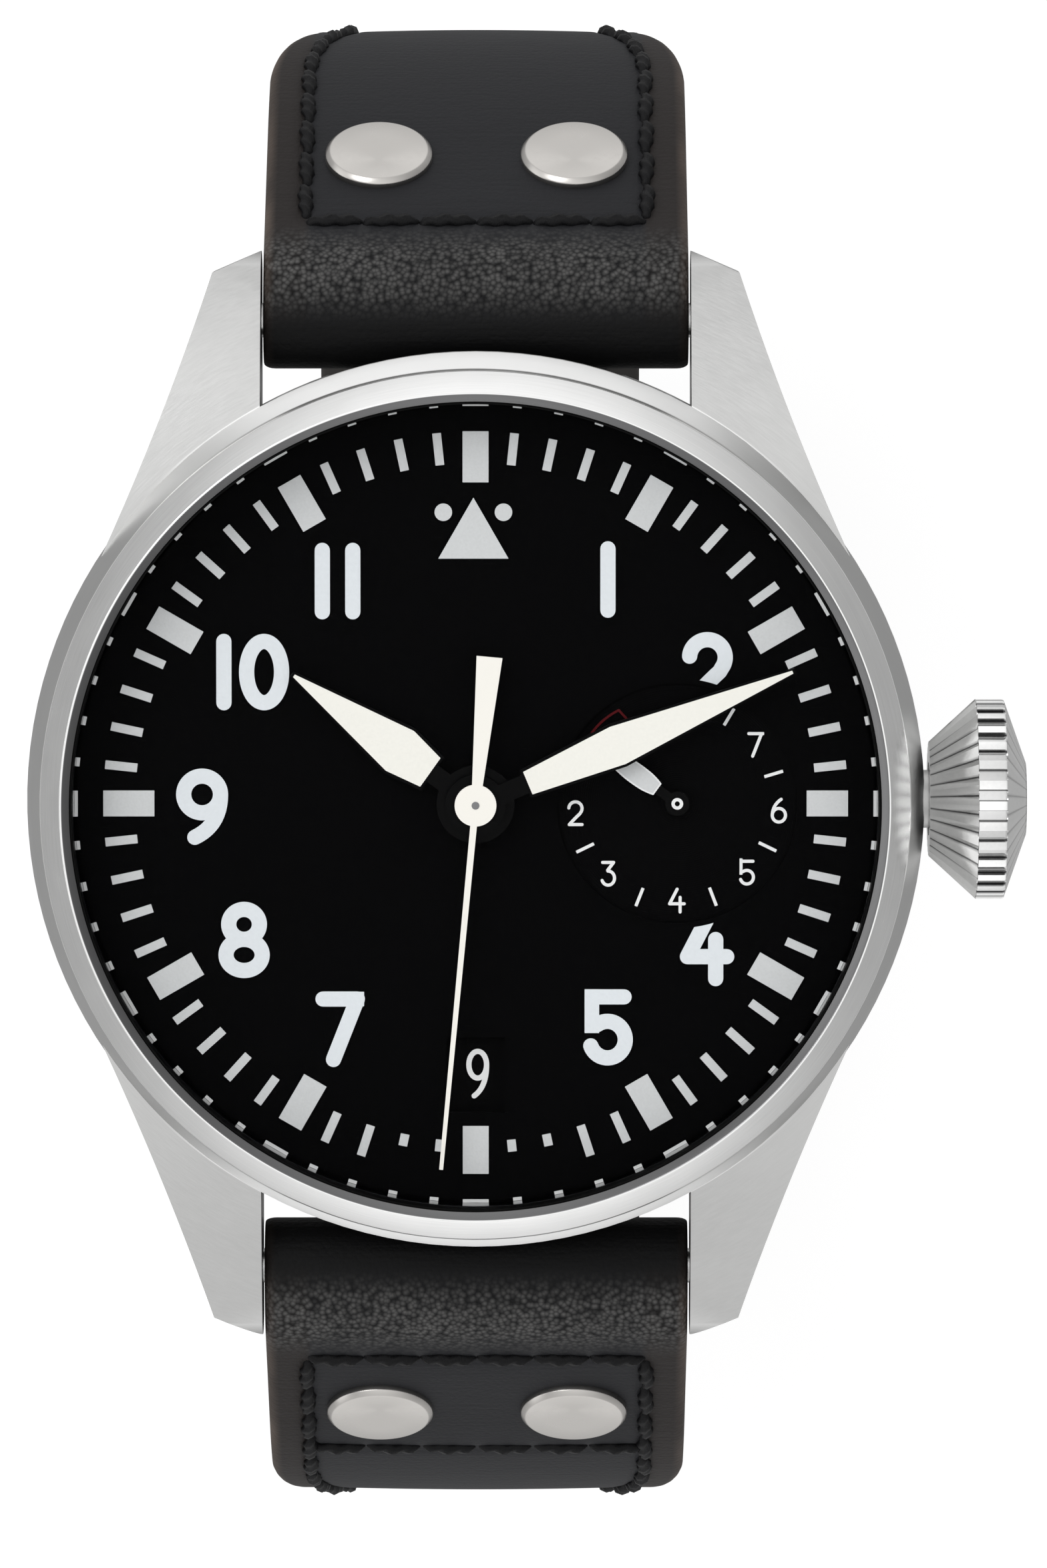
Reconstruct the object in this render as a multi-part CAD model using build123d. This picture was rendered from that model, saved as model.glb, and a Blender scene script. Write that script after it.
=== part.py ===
from build123d import *
from math import acos, asin, cos, degrees, hypot, pi, radians, sin, sqrt
import os

# A pilot's wristwatch, closed in a loop and standing on its folding clasp.
# Z is the axis of the hands and points out of the dial, Y points to 12 o'clock, X to 3 o'clock and the crown.
# The origin is the middle of the clasp's flat foot, straight under the hand axis. Lengths are in millimetres.

# Clearances that pieces share
overrun = 5.0
running_gap = 0.05
seat_gap = 0.1
moving_gap = 0.3

# Mid-case: a turned ring with a tapered upper flank
case_radius = 23.1
case_groove_step = 0.85
case_foot_step = 1.0
case_wall = 2.1
flank_height = 4.0
foot_bevel_height = 2.4
back_lip_width = 1.3
back_lip_height = 1.4
case_groove_radius = case_radius - case_groove_step
case_foot_radius = case_radius - case_foot_step
case_bore_radius = case_radius - case_wall
back_lip_radius = case_bore_radius - back_lip_width

# Bars through the lugs
bar_stand_off = 1.5
bar_rise = 2.6
bar_radius = 0.9
bar_seat_depth = 1.6
bar_reach = case_radius + bar_stand_off

# Lugs, by their outline from above and from the side
lug_gap = 22.2
lug_tip_reach = 3.6
lug_tip_width = 2.5
lug_tip_slant = 1.1
lug_waist_offset = 5.8
lug_waist_share = 0.6383
lug_root_share = 0.3009
lug_start_share = 0.2597
lug_top_rise = 7.4
lug_mid_rise = 7.0
lug_mid_share = 0.6915
lug_reach = bar_reach + lug_tip_reach
lug_waist_y = lug_reach * lug_waist_share
lug_mid_y = lug_reach * lug_mid_share
lug_root_y = case_radius * lug_root_share
lug_start_y = case_radius * lug_start_share
lug_nose_rise = 4.5
lug_nose_back = 0.8
lug_foot_rise = 0.3
lug_foot_back = 1.0

# Bezel, crystal and the flange inside them
bezel_height = 1.7
bezel_chamfer_width = 1.0
bezel_land_width = 0.25
bezel_inner_bevel = 0.3
bezel_inner_drop = 0.25
bezel_spigot_depth = 0.9
bezel_spigot_wall = 0.3
crystal_edge_height = 1.5
crystal_dome_rise = 1.9
crystal_thickness = 2.0
crystal_steps = 4
gasket_wall = 0.3
flange_foot_width = 0.1
flange_lean = 0.15
flange_height = 1.9
bezel_top_outer_radius = case_groove_radius - bezel_chamfer_width
bezel_top_inner_radius = bezel_top_outer_radius - bezel_land_width
crystal_radius = bezel_top_inner_radius - bezel_inner_bevel - gasket_wall
flange_inner_radius = crystal_radius - flange_foot_width
flange_top_inner_radius = flange_inner_radius + flange_lean

# Dial, its sunk reserve dial and its date window
dial_edge_gap = 0.15
dial_thickness = 0.4
reserve_place_share = 0.5681
reserve_size_share = 0.3396
reserve_depth = 0.2
date_window_share = 0.7692
date_window_width = 3.0
date_window_height = 3.9
dial_hole_radius = 1.7
dial_radius = case_bore_radius - dial_edge_gap

# Case back, its gasket and the magnetic shield
back_rim = 1.2
back_thickness = 1.2
back_boss_height = 1.0
back_boss_wall = 1.6
back_flat_share = 0.93
back_slot_count = 6
back_slot_width = 2.4
back_slot_depth = 0.7
back_gasket_inset = 0.35
back_gasket_width = 0.6
back_gasket_height = 0.5
shield_wall = 0.45
shield_floor_gap = 1.3
shield_top_gap = 0.55
movement_ring_wall = 1.7
back_radius = case_foot_radius - back_rim
back_gasket_outer_radius = back_radius - back_gasket_inset
back_gasket_inner_radius = back_gasket_outer_radius - back_gasket_width
shield_radius = case_bore_radius - movement_ring_wall - 2 * seat_gap

# Movement plates, from the dial side down
movement_gap = 0.45
dial_feet_space = 0.7
mainplate_thickness = 1.1
train_height = 2.1
bridge_thickness = 0.8
bridge_split_gap = 0.4
pillar_share = 0.0604
bridge_screw_share = 0.0412
bridge_screw_head = 0.3
bridge_screw_slot = 0.2
jewel_radius = 0.6
pivot_radius = 0.2
arbor_radius = 0.3
rotor_gap = 0.2
rotor_floor_gap = 0.2
rotor_thickness = 0.8
rotor_web_thickness = 0.3
rotor_rim_width = 3.4
rotor_hub_radius = 2.3
rotor_bearing_radius = 1.3
movement_radius = shield_radius - shield_wall - movement_gap
reserve_x = movement_radius * reserve_place_share
reserve_radius = movement_radius * reserve_size_share
date_window_y = movement_radius * date_window_share
pillar_radius = movement_radius * pillar_share
bridge_screw_radius = movement_radius * bridge_screw_share

# Going train: wheel and pinion radii, and the height of each wheel's plane over the bridges
wheel_thickness = 0.15
wheel_opening_share = 0.36
pinion_radius = 0.6
pinion_height = 0.3
barrel_share = 0.3407
barrel_tooth_depth = 0.3
barrel_height = 1.05
barrel_wall = 0.35
barrel_reach_share = 0.6154
barrel_angle = 65
great_share = 0.2418
great_level = 1.7
great_pinion_radius = 0.85
third_share = 0.2527
third_level = 0.9
third_angle = 150
fourth_share = 0.2308
fourth_level = 0.4
escape_share = 0.1319
escape_level = 1.0
escape_pinion_radius = 0.5
escape_angle = -50
escape_teeth = 15
escape_root_share = 0.78
tooth_tip_share = 0.25
tooth_heel_share = 0.45
fork_reach_share = 0.1813
fork_arm_share = 0.1703
fork_anchor_share = 0.62
fork_stone_share = 0.9
balance_reach_share = 0.6703
balance_share = 0.1978
balance_level = 0.4
balance_rim = 0.5
hairspring_turns = 4
hairspring_inner_radius = 0.7
hairspring_fill_share = 0.6111
hairspring_thickness = 0.06
hairspring_height = 0.15
mainspring_turns = 5
mainspring_inner_radius = 1.5
mainspring_fill_share = 0.94
mainspring_thickness = 0.3
barrel_radius = movement_radius * barrel_share
barrel_wheel_radius = barrel_radius + barrel_tooth_depth
barrel_reach = movement_radius * barrel_reach_share
great_radius = movement_radius * great_share
third_radius = movement_radius * third_share
fourth_radius = movement_radius * fourth_share
escape_radius = movement_radius * escape_share
fork_reach = movement_radius * fork_reach_share
fork_arm = movement_radius * fork_arm_share
balance_reach = movement_radius * balance_reach_share
balance_radius = movement_radius * balance_share
hairspring_pitch = (balance_radius * hairspring_fill_share - hairspring_inner_radius) / hairspring_turns
mainspring_room = (barrel_radius - barrel_wall) * mainspring_fill_share
mainspring_pitch = (mainspring_room - mainspring_inner_radius) / mainspring_turns
mesh_gap = 0.05

# Motion work and date disc, between the mainplate and the dial
cannon_pinion_radius = 1.15
cannon_radius = 0.8
hour_pipe_radius = 1.25
minute_wheel_share = 0.1621
minute_pinion_radius = 0.75
minute_wheel_angle = 200
motion_wheel_thickness = 0.15
motion_level_step = 0.25
date_ring_gap = 1.0
date_ring_inner_share = 0.6628
date_ring_thickness = 0.2
jumper_share = 0.4386
jumper_width = 1.2
jumper_thickness = 0.25
jumper_angle = 235
date_ring_outer_radius = movement_radius - date_ring_gap
date_ring_inner_radius = date_ring_outer_radius * date_ring_inner_share
jumper_length = date_ring_inner_radius * jumper_share
minute_wheel_radius = movement_radius * minute_wheel_share
hour_wheel_radius = cannon_pinion_radius + minute_wheel_radius - minute_pinion_radius

# Hands
hand_thickness = 0.2
hand_step = 0.25
hour_hand_rise = 0.6
hour_hand_angle = 305.4
minute_hand_angle = 67.2
seconds_hand_angle = 185.4
hub_wall = 0.75
hour_tip_share = 0.5616
hour_lume_start = 2.84
hour_lume_base_width = 1.8
hour_lume_widest = 4.75
hour_lume_width = 2.5
minute_tip_share = 0.867
minute_lume_start = 2.9
minute_lume_base_width = 1.25
minute_lume_widest = 7.9
minute_lume_width = 2.07
hand_border = 0.14
hand_blunt_width = 0.16
hand_shank_width = 1.0
seconds_tip_share = 0.9261
seconds_base_width = 0.35
seconds_tip_width = 0.2
seconds_tail = 7.65
seconds_tail_neck_width = 0.43
seconds_tail_width = 1.33
seconds_hub_radius = 1.07
seconds_arbor_radius = 0.3
reserve_tip_share = 0.7605
reserve_blade_start_share = 0.2103
reserve_point_share = 0.17
reserve_blade_width = 0.92
reserve_shank_width = 0.5
reserve_hub_radius = 0.62
reserve_hand_angle = 144
reserve_hand_rise = 0.35
hour_tip = flange_inner_radius * hour_tip_share
minute_tip = flange_inner_radius * minute_tip_share
seconds_tip = flange_inner_radius * seconds_tip_share
reserve_tip = reserve_radius * reserve_tip_share

# Crown, its tube and its stem
stem_drop = 1.05
crown_stand_off = 0.25
crown_neck_radius = 2.95
crown_radius = 5.15
crown_cone_length = 2.4
crown_grip_length = 1.45
crown_dome_length = 1.15
crown_end_radius = 1.9
crown_flutes = 30
crown_flute_depth = 0.45
crown_flute_share = 0.9
crown_slot_depth = 0.3
crown_slot_share = 0.42
crown_travel = 1.8
tube_radius = 1.5
tube_bore_radius = 0.85
tube_length = 3.6
tube_stand_out = 1.7
stem_radius = 0.55
stem_square = 0.75
winding_pinion_radius = 1.0
winding_pinion_length = 2.2
winding_pinion_share = 0.7363
crown_gasket_wall = 0.4
crown_gasket_length = 0.8
crown_start_x = case_radius + crown_stand_off
winding_pinion_x = movement_radius * winding_pinion_share

# Strap: its path from the side and its widths
strap_side_gap = 0.25
strap_end_width = 18.0
strap_roll_radius = 2.5
strap_bend_radius = 4.6
strap_fall_angle = 56
patch_length = 9.7
strap_side_radius = 33.0
strap_thickness = 2.6
patch_thickness = 4.3
lining_thickness = 1.0
lining_start_share = 0.25
shoulder_drop = 12.0
shoulder_end_drop = 22.0
shoulder_bulge_share = 0.32
rivet_distance = 7.95
rivet_spacing = 10.2
rivet_radius = 2.8
rivet_height = 0.6
rivet_bevel = 0.22
rivet_shank_radius = 1.1
rivet_back_radius = 2.1
rivet_back_height = 0.5
rivet_back_seat = 0.4
strap_hole_count = 4
strap_hole_pitch = 6.0
strap_hole_width = 1.7
strap_hole_length = 3.4
strap_width = lug_gap - 2 * strap_side_gap

# Folding clasp
foot_half_length = 9.0
cover_thickness = 1.2
cover_width = 20.8
cover_rim_height = 2.4
cover_back_reach = 16.0
cover_nose = 1.2
cover_pivot_reach = 12.4
knuckle_radius = 1.1
knuckle_width = 6.0
clasp_pin_radius = 0.6
stud_radius = 0.7
stud_y = 4.0
stud_height = 2.2
blade_thickness = 0.8
blade_width = 18.0
fold_reach = 13.0
bow_arm_width = 1.0
bow_plate_start = -9.5
bow_plate_end = 9.5
bow_gap = 0.2
bow_arm_drop = 0.9
strap_bar_reach = 17.3
strap_bar_radius = 0.75
strap_bar_clearance = 0.2
strap_bar_wall = 0.75
cover_front_reach = cover_pivot_reach + cover_nose

# The strap's outer line, worked out from the lug bar down to the foot, with the case back at height 0
fall = radians(strap_fall_angle)
roll_top_rise = bar_rise + strap_roll_radius
bend_end_y = bar_reach + strap_bend_radius * sin(fall)
bend_end_rise = roll_top_rise - strap_bend_radius * (1 - cos(fall))
patch_end_y = bend_end_y + patch_length * cos(fall)
patch_end_rise = bend_end_rise - patch_length * sin(fall)
side_y = patch_end_y + strap_side_radius * (1 - sin(fall))
side_rise = patch_end_rise - strap_side_radius * cos(fall)
hoop_radius = side_y - foot_half_length

# Heights over the surface that the clasp stands on
tail_bottom = cover_thickness + seat_gap
hoop_centre_z = tail_bottom + hoop_radius
back_z = hoop_centre_z - side_rise
mid_case_z = back_z + back_thickness
bar_z = back_z + bar_rise
tail_top = tail_bottom + strap_thickness
shield_z = mid_case_z + shield_floor_gap
rotor_z = shield_z + shield_wall + rotor_floor_gap
bridge_z = rotor_z + rotor_thickness + rotor_gap
bridge_top_z = bridge_z + bridge_thickness
mainplate_z = bridge_top_z + train_height
dial_z = mainplate_z + mainplate_thickness + dial_feet_space
shield_height = dial_z - shield_z - shield_top_gap
flange_z = dial_z + dial_thickness
crystal_z = flange_z + flange_height
bezel_z = crystal_z + crystal_edge_height + bezel_inner_drop - bezel_height
mid_case_height = bezel_z - mid_case_z
crown_z = mainplate_z - stem_drop
hour_hand_z = flange_z + hour_hand_rise
minute_hand_z = hour_hand_z + hand_thickness + hand_step
seconds_hand_z = minute_hand_z + hand_thickness + hand_step
fall_direction = (cos(fall), -sin(fall))
fall_normal = (sin(fall), cos(fall))


def ring(outer, inner, low, high, x=0, y=0):
    """A flat ring, or a disc where inner is 0, standing on the height low."""
    face = Circle(outer) - Circle(inner) if inner else Circle(outer)
    return Pos(x, y, low) * extrude(face, high - low)


def turned(points):
    """A solid turned about Z from (radius, height) points."""
    return revolve(Plane.XZ * make_face(Polyline(*points, close=True)), Axis.Z)


def turned_about_x(points, z):
    """A solid turned about the X direction at height z, from (x, radius) points."""
    return Pos(0, 0, z) * revolve(make_face(Polyline(*points, close=True)), Axis.X)


def rod_along_x(radius, half_length, y, z):
    """A round rod along X, centred on the hand axis' plane."""
    return extrude(Pos(0, y, z) * (Plane.YZ * Circle(radius)), half_length, both=True)


def side_profile(edges, half_width):
    """Extrudes a closed outline of the YZ plane to both sides of X = 0."""
    return extrude(make_face(edges), half_width, dir=(1, 0, 0), both=True)


def at(y, z):
    """A point of the YZ plane."""
    return Vector(0, y, z)


def polar(radius, angle):
    """The X and Y of a place given by its distance from the hand axis and its angle from X."""
    return radius * cos(radians(angle)), radius * sin(radians(angle))


def on_both_ends(solid):
    """A 12 o'clock solid and its mirror image at 6 o'clock."""
    return [solid, mirror(solid, Plane.XZ)]


def lug_outline():
    """The plan of the lug at the right of 12 o'clock, from its inner face to its waist."""
    inner = lug_gap / 2
    tip_outer = inner + lug_tip_width
    root = (sqrt(case_radius**2 - lug_root_y**2) - running_gap, lug_root_y)
    edges = [
        Polyline(
            (inner, lug_start_y),
            (inner, lug_reach),
            (tip_outer, lug_reach - lug_tip_slant),
        ),
        ThreePointArc((tip_outer, lug_reach - lug_tip_slant), (inner + lug_waist_offset, lug_waist_y), root),
        Polyline(root, (inner, lug_start_y)),
    ]
    return make_face(edges)


def lug_side():
    """The side view of a 12 o'clock lug: a top that falls to a blunt nose, and an upswept foot."""
    nose_y = lug_reach - lug_nose_back
    foot_y = lug_reach - lug_foot_back
    top_start = at(lug_start_y, back_z + lug_top_rise)
    top_end = at(nose_y, back_z + lug_nose_rise)
    nose = at(lug_reach, back_z + (lug_nose_rise + lug_foot_rise) / 2)
    foot = at(foot_y, back_z + lug_foot_rise)
    heel = at(lug_start_y, mid_case_z)
    return [
        ThreePointArc(top_start, at(lug_mid_y, back_z + lug_mid_rise), top_end),
        ThreePointArc(top_end, nose, foot),
        Line(foot, heel),
        Line(heel, top_start),
    ]


def make_mid_case():
    """The case ring with its four lugs, bored for the movement, the crown tube and the lug bars."""
    top = mid_case_z + mid_case_height
    barrel = turned(
        [
            (0, mid_case_z),
            (case_foot_radius, mid_case_z),
            (case_radius, mid_case_z + foot_bevel_height),
            (case_radius, top - flank_height),
            (case_groove_radius, top),
            (0, top),
        ]
    )
    notch_y = bar_reach - strap_roll_radius - moving_gap
    notch_top = back_z + roll_top_rise + moving_gap
    notch = Pos(0, notch_y, mid_case_z) * Box(
        lug_gap, overrun, notch_top - mid_case_z, align=(Align.CENTER, Align.MIN, Align.MIN)
    )
    for cut in on_both_ends(notch):
        barrel -= cut
    plan = extrude(Pos(0, 0, back_z) * lug_outline(), mid_case_height)
    lug = plan & side_profile(lug_side(), case_radius)
    body = barrel
    for piece in on_both_ends(lug):
        body += piece
        body += mirror(piece, Plane.YZ)
    body -= ring(case_bore_radius, 0, mid_case_z + back_lip_height, top + overrun)
    body -= ring(back_lip_radius, 0, mid_case_z - overrun, top)
    body -= ring(back_radius + running_gap, 0, mid_case_z - overrun, mid_case_z)
    body -= ring(back_gasket_outer_radius + running_gap, 0, mid_case_z, mid_case_z + back_gasket_height)
    bar_hole = rod_along_x(bar_radius + running_gap, lug_gap / 2 + bar_seat_depth, bar_reach, bar_z)
    body -= on_both_ends(bar_hole)
    body -= turned_about_x(
        [
            (0, 0),
            (crown_start_x + overrun, 0),
            (crown_start_x + overrun, tube_radius + running_gap),
            (0, tube_radius + running_gap),
        ],
        crown_z,
    )
    return body


def make_bezel():
    """The bezel: a polished chamfer outside, a narrow bevel inside and a spigot into the mid-case."""
    top = bezel_z + bezel_height
    crystal_seat = crystal_radius + gasket_wall
    return turned(
        [
            (crystal_seat, bezel_z - bezel_spigot_depth),
            (crystal_seat + bezel_spigot_wall - running_gap, bezel_z - bezel_spigot_depth),
            (crystal_seat + bezel_spigot_wall - running_gap, bezel_z),
            (case_groove_radius, bezel_z),
            (case_groove_radius, bezel_z + seat_gap),
            (bezel_top_outer_radius, top),
            (bezel_top_inner_radius, top),
            (crystal_seat, top - bezel_inner_drop),
        ]
    )


def dome_radius(rise, half_width):
    """The radius of a sphere that rises by rise over half_width."""
    return (half_width**2 + rise**2) / (2 * rise)


def dome_line(radius, centre_z, half_width):
    """Points of a dome's section from its middle to half_width, on a circle round (0, centre_z)."""
    points = []
    for step in range(crystal_steps + 1):
        r = half_width * step / crystal_steps
        points.append((r, centre_z + sqrt(radius**2 - r**2)))
    return points


def make_crystal():
    """A domed crystal of even thickness with a straight edge."""
    outer = dome_radius(crystal_dome_rise, crystal_radius)
    inner = outer - crystal_thickness
    centre_z = crystal_z + crystal_edge_height + crystal_dome_rise - outer
    inner_half_width = sqrt(inner**2 - (crystal_z - centre_z) ** 2)
    under = dome_line(inner, centre_z, inner_half_width)
    over = dome_line(outer, centre_z, crystal_radius)
    return turned([*over, (crystal_radius, crystal_z), *reversed(under)])


def make_flange():
    """The steep ring between the dial and the crystal."""
    outer = case_bore_radius - running_gap
    shoulder = crystal_radius + gasket_wall - running_gap
    return turned(
        [
            (flange_inner_radius, flange_z),
            (outer, flange_z),
            (outer, bezel_z - bezel_spigot_depth - running_gap),
            (shoulder, bezel_z - bezel_spigot_depth - running_gap),
            (shoulder, crystal_z),
            (flange_top_inner_radius, crystal_z),
        ]
    )


def make_dial():
    """The dial plate with the sunk reserve dial, the date window and the holes for the hands."""
    plate = ring(dial_radius, 0, dial_z, flange_z)
    plate -= ring(dial_hole_radius, 0, dial_z - overrun, flange_z + overrun)
    plate -= ring(reserve_radius, 0, flange_z - reserve_depth, flange_z + overrun, reserve_x)
    plate -= ring(arbor_radius + running_gap, 0, dial_z - overrun, flange_z + overrun, reserve_x)
    window = Pos(0, -date_window_y, dial_z) * Box(date_window_width, date_window_height, overrun)
    return plate - window


def make_case_back():
    """The screwed back: a flange with key slots, and a boss that centres it in the mid-case."""
    flange = turned(
        [
            (0, back_z),
            (back_radius * back_flat_share, back_z),
            (back_radius, back_z + back_thickness / 2),
            (back_radius, mid_case_z),
            (back_lip_radius - running_gap, mid_case_z),
            (back_lip_radius - running_gap, mid_case_z + back_boss_height),
            (back_lip_radius - back_boss_wall, mid_case_z + back_boss_height),
            (back_lip_radius - back_boss_wall, mid_case_z),
            (0, mid_case_z),
        ]
    )
    for spot in PolarLocations(back_radius, back_slot_count, start_angle=90 / back_slot_count):
        flange -= Pos(0, 0, back_z) * spot * Box(back_slot_width, back_slot_width, back_slot_depth)
    return flange


def make_shield():
    """The soft-iron cup round the movement, holed for the stem."""
    cup = ring(shield_radius, 0, shield_z, shield_z + shield_height)
    cup -= ring(shield_radius - shield_wall, 0, shield_z + shield_wall, shield_z + shield_height + overrun)
    return cup - stem_hole()


def stem_hole():
    """The way of the stem through the rings round the movement."""
    return turned_about_x(
        [
            (0, 0),
            (case_radius, 0),
            (case_radius, tube_radius + running_gap),
            (0, tube_radius + running_gap),
        ],
        crown_z,
    )


def make_movement_ring():
    """The ring that holds the movement in the case and carries the dial's edge."""
    outer = case_bore_radius - seat_gap
    low = mid_case_z + back_lip_height
    return ring(outer, outer - movement_ring_wall, low, dial_z) - stem_hole()


def train_places():
    """The X and Y of every arbor, from the radii of the wheels that mesh."""
    barrel = polar(barrel_reach, barrel_angle)
    third = polar(third_radius + pinion_radius + mesh_gap, third_angle)
    from_third = great_radius + pinion_radius + mesh_gap
    from_barrel = barrel_wheel_radius + great_pinion_radius + mesh_gap
    span = hypot(barrel[0] - third[0], barrel[1] - third[1])
    along = (from_third**2 - from_barrel**2 + span**2) / (2 * span)
    aside = sqrt(from_third**2 - along**2)
    ux = (barrel[0] - third[0]) / span
    uy = (barrel[1] - third[1]) / span
    great = (third[0] + along * ux - aside * uy, third[1] + along * uy + aside * ux)
    escape = polar(fourth_radius + escape_pinion_radius + mesh_gap, escape_angle)
    fork = polar(fourth_radius + escape_pinion_radius + mesh_gap + fork_reach, escape_angle)
    balance = polar(balance_reach, escape_angle)
    return {
        "barrel": barrel,
        "great": great,
        "third": third,
        "escape": escape,
        "fork": fork,
        "balance": balance,
    }


places = train_places()
pillar_reach = movement_radius - pillar_radius - seat_gap
pillar_angles = {"barrel_bridge": (15, 112), "train_bridge": (185, 240), "balance_cock": (escape_angle,)}


def bridge_blank(name):
    """The part of the bridge level that each bridge covers, parted from its neighbours by a gap."""
    disc = ring(movement_radius, 0, bridge_z, bridge_top_z)
    half = bridge_split_gap / 2
    size = 2 * movement_radius
    upper = Pos(0, pinion_radius * 2 + half, bridge_z) * Box(
        2 * size, size, overrun, align=(Align.CENTER, Align.MIN, Align.CENTER)
    )
    if name == "barrel_bridge":
        return disc & upper
    cock_reach = hypot(*places["fork"]) + jewel_radius + bridge_split_gap
    turned_out = Pos(0, 0, bridge_z) * Rot(0, 0, escape_angle)
    in_a_row = (Align.MIN, Align.CENTER, Align.CENTER)
    cock = turned_out * Pos(cock_reach + half, 0, 0) * Box(size, 2 * balance_radius, overrun, align=in_a_row)
    if name == "balance_cock":
        return disc & cock
    cock_width = 2 * balance_radius + 2 * bridge_split_gap
    cock_room = turned_out * Pos(cock_reach - half, 0, 0) * Box(size, cock_width, overrun, align=in_a_row)
    lower = Pos(0, pinion_radius * 2 - half, bridge_z) * Box(
        2 * size, size, overrun, align=(Align.CENTER, Align.MAX, Align.CENTER)
    )
    return (disc & lower) - cock_room


def arbor_spots(name):
    """The arbors that turn in a bridge."""
    owners = {
        "barrel_bridge": ("barrel", "great", "third"),
        "train_bridge": ("escape", "fork"),
        "balance_cock": ("balance",),
    }
    spots = [places[key] for key in owners[name]]
    if name == "train_bridge":
        spots.append((0, 0))
    return spots


def make_bridge(name):
    """A bridge with its pillars up to the mainplate, jewel holes and screw holes."""
    body = bridge_blank(name)
    for angle in pillar_angles[name]:
        x, y = polar(pillar_reach, angle)
        body += ring(pillar_radius, 0, bridge_z, mainplate_z, x, y)
        body -= ring(bridge_screw_radius, 0, bridge_z - overrun, bridge_z + bridge_screw_head, x, y)
    for x, y in arbor_spots(name):
        body -= ring(jewel_radius, 0, bridge_z - overrun, bridge_top_z + overrun, x, y)
    return body


def make_jewels():
    """One ring jewel in each arbor hole of the bridges."""
    stones = []
    for name in pillar_angles:
        for x, y in arbor_spots(name):
            stones.append(ring(jewel_radius, pivot_radius + running_gap, bridge_z, bridge_top_z, x, y))
    return stones


def make_bridge_screws():
    """A slotted screw head in each pillar."""
    screws = []
    for angles in pillar_angles.values():
        for angle in angles:
            x, y = polar(pillar_reach, angle)
            head = ring(bridge_screw_radius - running_gap, 0, bridge_z, bridge_z + bridge_screw_head, x, y)
            slot = Box(2 * bridge_screw_radius, bridge_screw_slot, bridge_screw_slot)
            screws.append(head - Pos(x, y, bridge_z) * slot)
    return screws


def make_mainplate():
    """The plate that the train is planted in, holed for the hands' pipes and notched for the stem."""
    top = mainplate_z + mainplate_thickness
    plate = ring(movement_radius, cannon_radius + running_gap, mainplate_z, top)
    plate -= ring(cannon_pinion_radius + seat_gap, 0, top - motion_level_step, top + overrun)
    for x, y in places.values():
        plate -= ring(pivot_radius + running_gap, 0, mainplate_z - overrun, mainplate_z + pinion_height, x, y)
    minute_x, minute_y = polar(cannon_pinion_radius + minute_wheel_radius + mesh_gap, minute_wheel_angle)
    plate -= ring(pivot_radius + running_gap, 0, top - pinion_height, top + overrun, minute_x, minute_y)
    plate -= ring(arbor_radius + running_gap, 0, top - pinion_height, top + overrun, reserve_x)
    return plate


def spoked_wheel(radius, hub, low, high, x, y, spokes=4):
    """A thin wheel with round openings between its spokes."""
    wheel = ring(radius, 0, low, high, x, y)
    middle = (radius + hub) / 2
    opening = (radius - hub) * wheel_opening_share
    for spot in PolarLocations(middle, spokes):
        wheel -= Pos(x, y, low) * spot * Cylinder(opening, overrun)
    return wheel


def arbor(x, y, low, high):
    """A wheel's arbor between the plates, with a thinner pivot at each end."""
    rod = ring(arbor_radius, 0, low, high, x, y)
    return rod + ring(pivot_radius, 0, low - pinion_height, high + pinion_height - mesh_gap, x, y)


def train_wheel(name, radius, level, pinion, pinion_level):
    """A train wheel with its pinion on one arbor."""
    x, y = places[name]
    low = bridge_top_z + level
    wheel = spoked_wheel(radius, pinion, low, low + wheel_thickness, x, y)
    leaf_low = bridge_top_z + pinion_level
    wheel += ring(pinion, 0, leaf_low, leaf_low + pinion_height, x, y)
    return wheel + arbor(x, y, bridge_top_z + mesh_gap, mainplate_z - mesh_gap)


def spiral(turns, inner, pitch, thickness, low, height, x, y):
    """A flat spiral spring of half-circle arcs, each half the pitch larger than the one before."""
    half_turns = 2 * turns
    outer_edge = []
    inner_edge = []
    centre = 0
    radius = inner
    side = 1
    for _ in range(half_turns):
        for edges, offset in ((outer_edge, thickness / 2), (inner_edge, -thickness / 2)):
            edge_radius = radius + offset
            start = (centre + side * edge_radius, 0)
            middle = (centre, side * edge_radius)
            end = (centre - side * edge_radius, 0)
            edges.append(ThreePointArc(start, middle, end))
        centre += side * pitch / 2
        radius += pitch / 2
        side = -side
    first = Line(inner_edge[0] @ 0, outer_edge[0] @ 0)
    last = Line(inner_edge[-1] @ 1, outer_edge[-1] @ 1)
    face = make_face([*outer_edge, *inner_edge, first, last])
    return Pos(x, y, low) * extrude(face, height)


def make_barrel():
    """The barrel: a hollow drum with its toothed rim, on the arbor that the mainspring hooks to."""
    x, y = places["barrel"]
    low = bridge_top_z + mesh_gap
    high = low + barrel_height
    drum = ring(barrel_radius, 0, low, high, x, y)
    drum -= ring(barrel_radius - barrel_wall, 0, low + barrel_wall / 2, high - barrel_wall / 2, x, y)
    drum += ring(barrel_wheel_radius, barrel_radius - barrel_wall, high, high + wheel_thickness, x, y)
    drum += ring(barrel_radius, 0, high, high + wheel_thickness, x, y)
    arbor_top = mainplate_z - mesh_gap
    drum += ring(arbor_radius, 0, high, arbor_top, x, y)
    drum += ring(pivot_radius, 0, low - pinion_height, low, x, y)
    return drum + ring(pivot_radius, 0, arbor_top, arbor_top + pinion_height - mesh_gap, x, y)


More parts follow.
